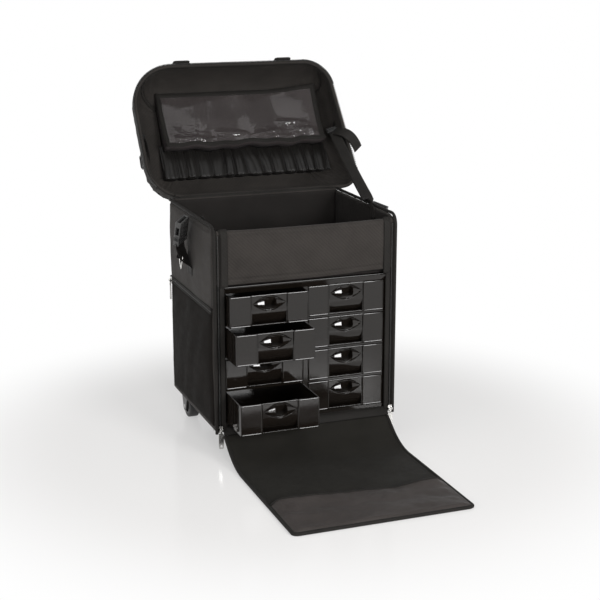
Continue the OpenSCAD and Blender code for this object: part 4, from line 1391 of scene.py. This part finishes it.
# Front flap: one padded panel of nylon that falls from the base to the floor in a smooth curve and lies out
# flat. Its edges are bound and topstitched, and a shallow pouch with a loose mouth crosses its free end.
hinge_y = -0.146
hinge_z = 0.046
fold_y = -0.20455
fall = math.radians(35)
flap_end = -0.502
flap_half = 0.1585
flap_z = 0.005
flap_t = 0.0046
edge_r = 0.0036
edge_z = 0.0028
bend_r = 0.130
bend_run = bend_r * math.tan(fall / 2)
bend_from = math.hypot(fold_y - hinge_y, hinge_z - flap_z) - bend_run
bend_to = bend_from + bend_r * fall
flap_total = bend_to + (fold_y - bend_run - flap_end)


def off_flap(turn):
    """Way out of the flap's upper face where it slopes by an angle."""
    return Vector((0, -math.sin(turn), math.cos(turn)))


def flap_top(s):
    """Upper face of the flap after s metres from its hinge: place and slope."""
    if s > bend_to:
        return Vector((0, fold_y - bend_run - (s - bend_to), flap_z)), 0.0
    fallen = min(s, bend_from)
    place = Vector((0, hinge_y - fallen * math.cos(fall), hinge_z - fallen * math.sin(fall)))
    turn = fall - (s - fallen) / bend_r
    return place + (off_flap(fall) - off_flap(turn)) * bend_r, turn


def flap_point(a, b, depth):
    """Place on the flap: a across it, b from hinge to free end, depth below its upper face."""
    x = (a - 0.5) * 2 * flap_half
    s = b * (flap_total - 0.002)
    p, turn = flap_top(s)
    soft = swell(min(flap_half - abs(x), flap_total - s), 0.012)
    lift = 0.0008 * (1 - soft) - depth
    if depth == 0:
        ripple = 0.0007 * crease((x, s, 0), 0.06, 61) + 0.0004 * crease((x, s, 0), 0.02, 67)
        lift = ripple * soft - 0.0006 - 0.0010 * (1 - soft)
    return Vector((x, 0, 0)) + p + off_flap(turn) * lift


flap_cut = Cut()
flap_cut.pad(120, 72, lambda r, c: flap_point(c, r, 0), lambda r, c: flap_point(c, r, flap_t))
# The flap's nylon is painted darker than the case's nylon: painted shade on the flap.
shaded_flap_cloth = cloth("flap_twill_painted_shade", (0.008, 0.0074, 0.0062), (0.030, 0.0279, 0.0237), 0.0013, 0.02)
flap = make(flap_cut, "padded_flap", None, shaded_flap_cloth, ["flap_apron", "flap_panel"])
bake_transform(flap)

edge_cut = Cut()
half_edge = []
for k in range(90):
    p, turn = flap_top(flap_total * k / 89 * 0.975)
    half_edge.append(p - off_flap(turn) * 0.0022 - Vector((flap_half, 0, 0)))
for turn in (0.4, 0.8, 1.2, 1.57):
    x = flap_half - 0.009 * (1 - math.cos(turn))
    half_edge.append(Vector((-x, flap_end + 0.0096 - 0.0070 * math.sin(turn), edge_z)))
end_edge = [Vector(((k / 20 - 1) * 0.145, flap_end + 0.0026, edge_z)) for k in range(41)]
other_edge = [Vector((-p.x, p.y, p.z)) for p in reversed(half_edge)]
edge_cut.tube(half_edge + end_edge + other_edge, edge_r, 10, flat=0.9)
for a in (0.028, 0.972):
    row = [flap_point(a, 0.02 + 0.955 * k / 110, 0) + Vector((0, 0, 0.0002)) for k in range(111)]
    edge_cut.stitches(row, (0, 0, 1))
edge_cut.stitches([flap_point(0.03 + 0.94 * k / 80, 0.979, 0) for k in range(81)], (0, 0, 1))
flap_edge = make(edge_cut, "flap_edge_binding", None, tape, ["flap_binding"])
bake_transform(flap_edge)

pouch_end = flap_end + 0.004
pouch_mouth = -0.386


def pouch_top(a, b, lift=0.0):
    """Loose cloth of the flap's pouch: a across, b from the free end to the mouth."""
    x = (a - 0.5) * 2 * (flap_half - 0.002)
    sag = 0.0030 * math.sin(a * 5.2 + 0.4) + 0.0022 * math.sin(a * 11.5 + 2.0)
    y = pouch_end + b * (pouch_mouth + sag - pouch_end)
    side_edge = min(1, min(a, 1 - a) / 0.04)
    fold = 0.0022 * (0.7 + crease((x * 0.7 + y, y * 1.5, 0), 0.045, 71))
    fold += 0.0007 * crease((x, y, 0), 0.016, 73)
    gape = 0.0062 * smooth(0.72, 1.0, b) * (0.55 + 0.45 * math.sin(a * 7.5 + 0.6)) * side_edge
    z = 0.0054 + (0.0011 + 1.5 * fold) * side_edge * smooth(0, 0.06, b) + gape
    return Vector((x, y, z + lift))


mouth_cut = Cut()
mouth_cut.pad(40, 90, lambda r, c: pouch_top(c, r), lambda r, c: pouch_top(c, r, -0.0009))
mouth_cut.tube([pouch_top(i / 90, 1, -0.0004) for i in range(91)], 0.0014, 8)
mouth_cut.stitches([pouch_top(0.02 + 0.96 * i / 80, 0.945, 0.0003) for i in range(81)], (0, 0, 1))
pouch_satin = cloth("pouch_satin", (0.030, 0.0260, 0.0240), (0.084, 0.0730, 0.0690), 0.0007, 0.03, 0.5,
                    0.0001)
flap_pouch = make(mouth_cut, "flap_pouch", "flap_panel", pouch_satin, ["flap_pocket"])
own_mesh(flap_pouch)
hem = Cut()
hem.tube([pouch_top(i / 90, 0.992, 0.0002) for i in range(91)], 0.0026, 10, flat=0.6)
pouch_hem = make(hem, "flap_pouch_hem", "flap_panel", tape, ())
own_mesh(pouch_hem)

# Zip sliders and pulls: die-cast and plated, each pull a stamped blade with an eye on the slider's pin
# and a hole at its free end.
pin_r = 0.0016
shank_half = 0.0018
blade_half_w = 0.0048
blade_half = 0.0145
blade_mid = 0.0220
blade_half_t = 0.0008
for end in ("left", "right"):
    rounded_node(f"flap_slider_{end}", bright, 0.0003)
    rounded_node(f"pocket_slider_{end}", bright, 0.0003)
    rounded_node(f"pocket_pull_{end}", bright, 0.0003)
    low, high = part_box(f"flap_pull_{end}")
    pin = Vector(((low[0] + high[0]) / 2, (low[1] + high[1]) / 2 - case_y, high[2] - pin_r))
    plate = Cut()
    plate.tube([pin + Vector((x, 0, 0)) for x in (-shank_half, shank_half)], pin_r, 16)
    shank = Vector((shank_half, blade_half_t, 0))
    plate.block(pin - shank - Vector((0, 0, 0.0090)), pin + shank - Vector((0, 0, 0.0008)), 0.0004)

    def plate_ring(r, c):
        """Blade with a hole: its outline in front, behind, and then the hole behind and in front."""
        turn = c * math.tau
        across = math.cos(turn)
        rise = math.sin(turn)
        step = round(r * 4)
        if step in (0, 1, 4):
            edge = (abs(across) ** 6 + abs(rise) ** 6) ** (-1 / 6)
            spot = Vector((blade_half_w * edge * across, 0, blade_half * edge * rise - blade_mid))
        else:
            spot = Vector((0.0020 * across, 0, -0.0315 + 0.0028 * rise))
        return pin + spot + Vector((0, blade_half_t if step in (1, 2) else -blade_half_t, 0))

    plate.sheet(4, 48, plate_ring, wrap=True)
    pull = f"flap_pull_{end}"
    make(plate, f"flap_zip_plate_{end}", pull, bright, [pull], crisp=40)
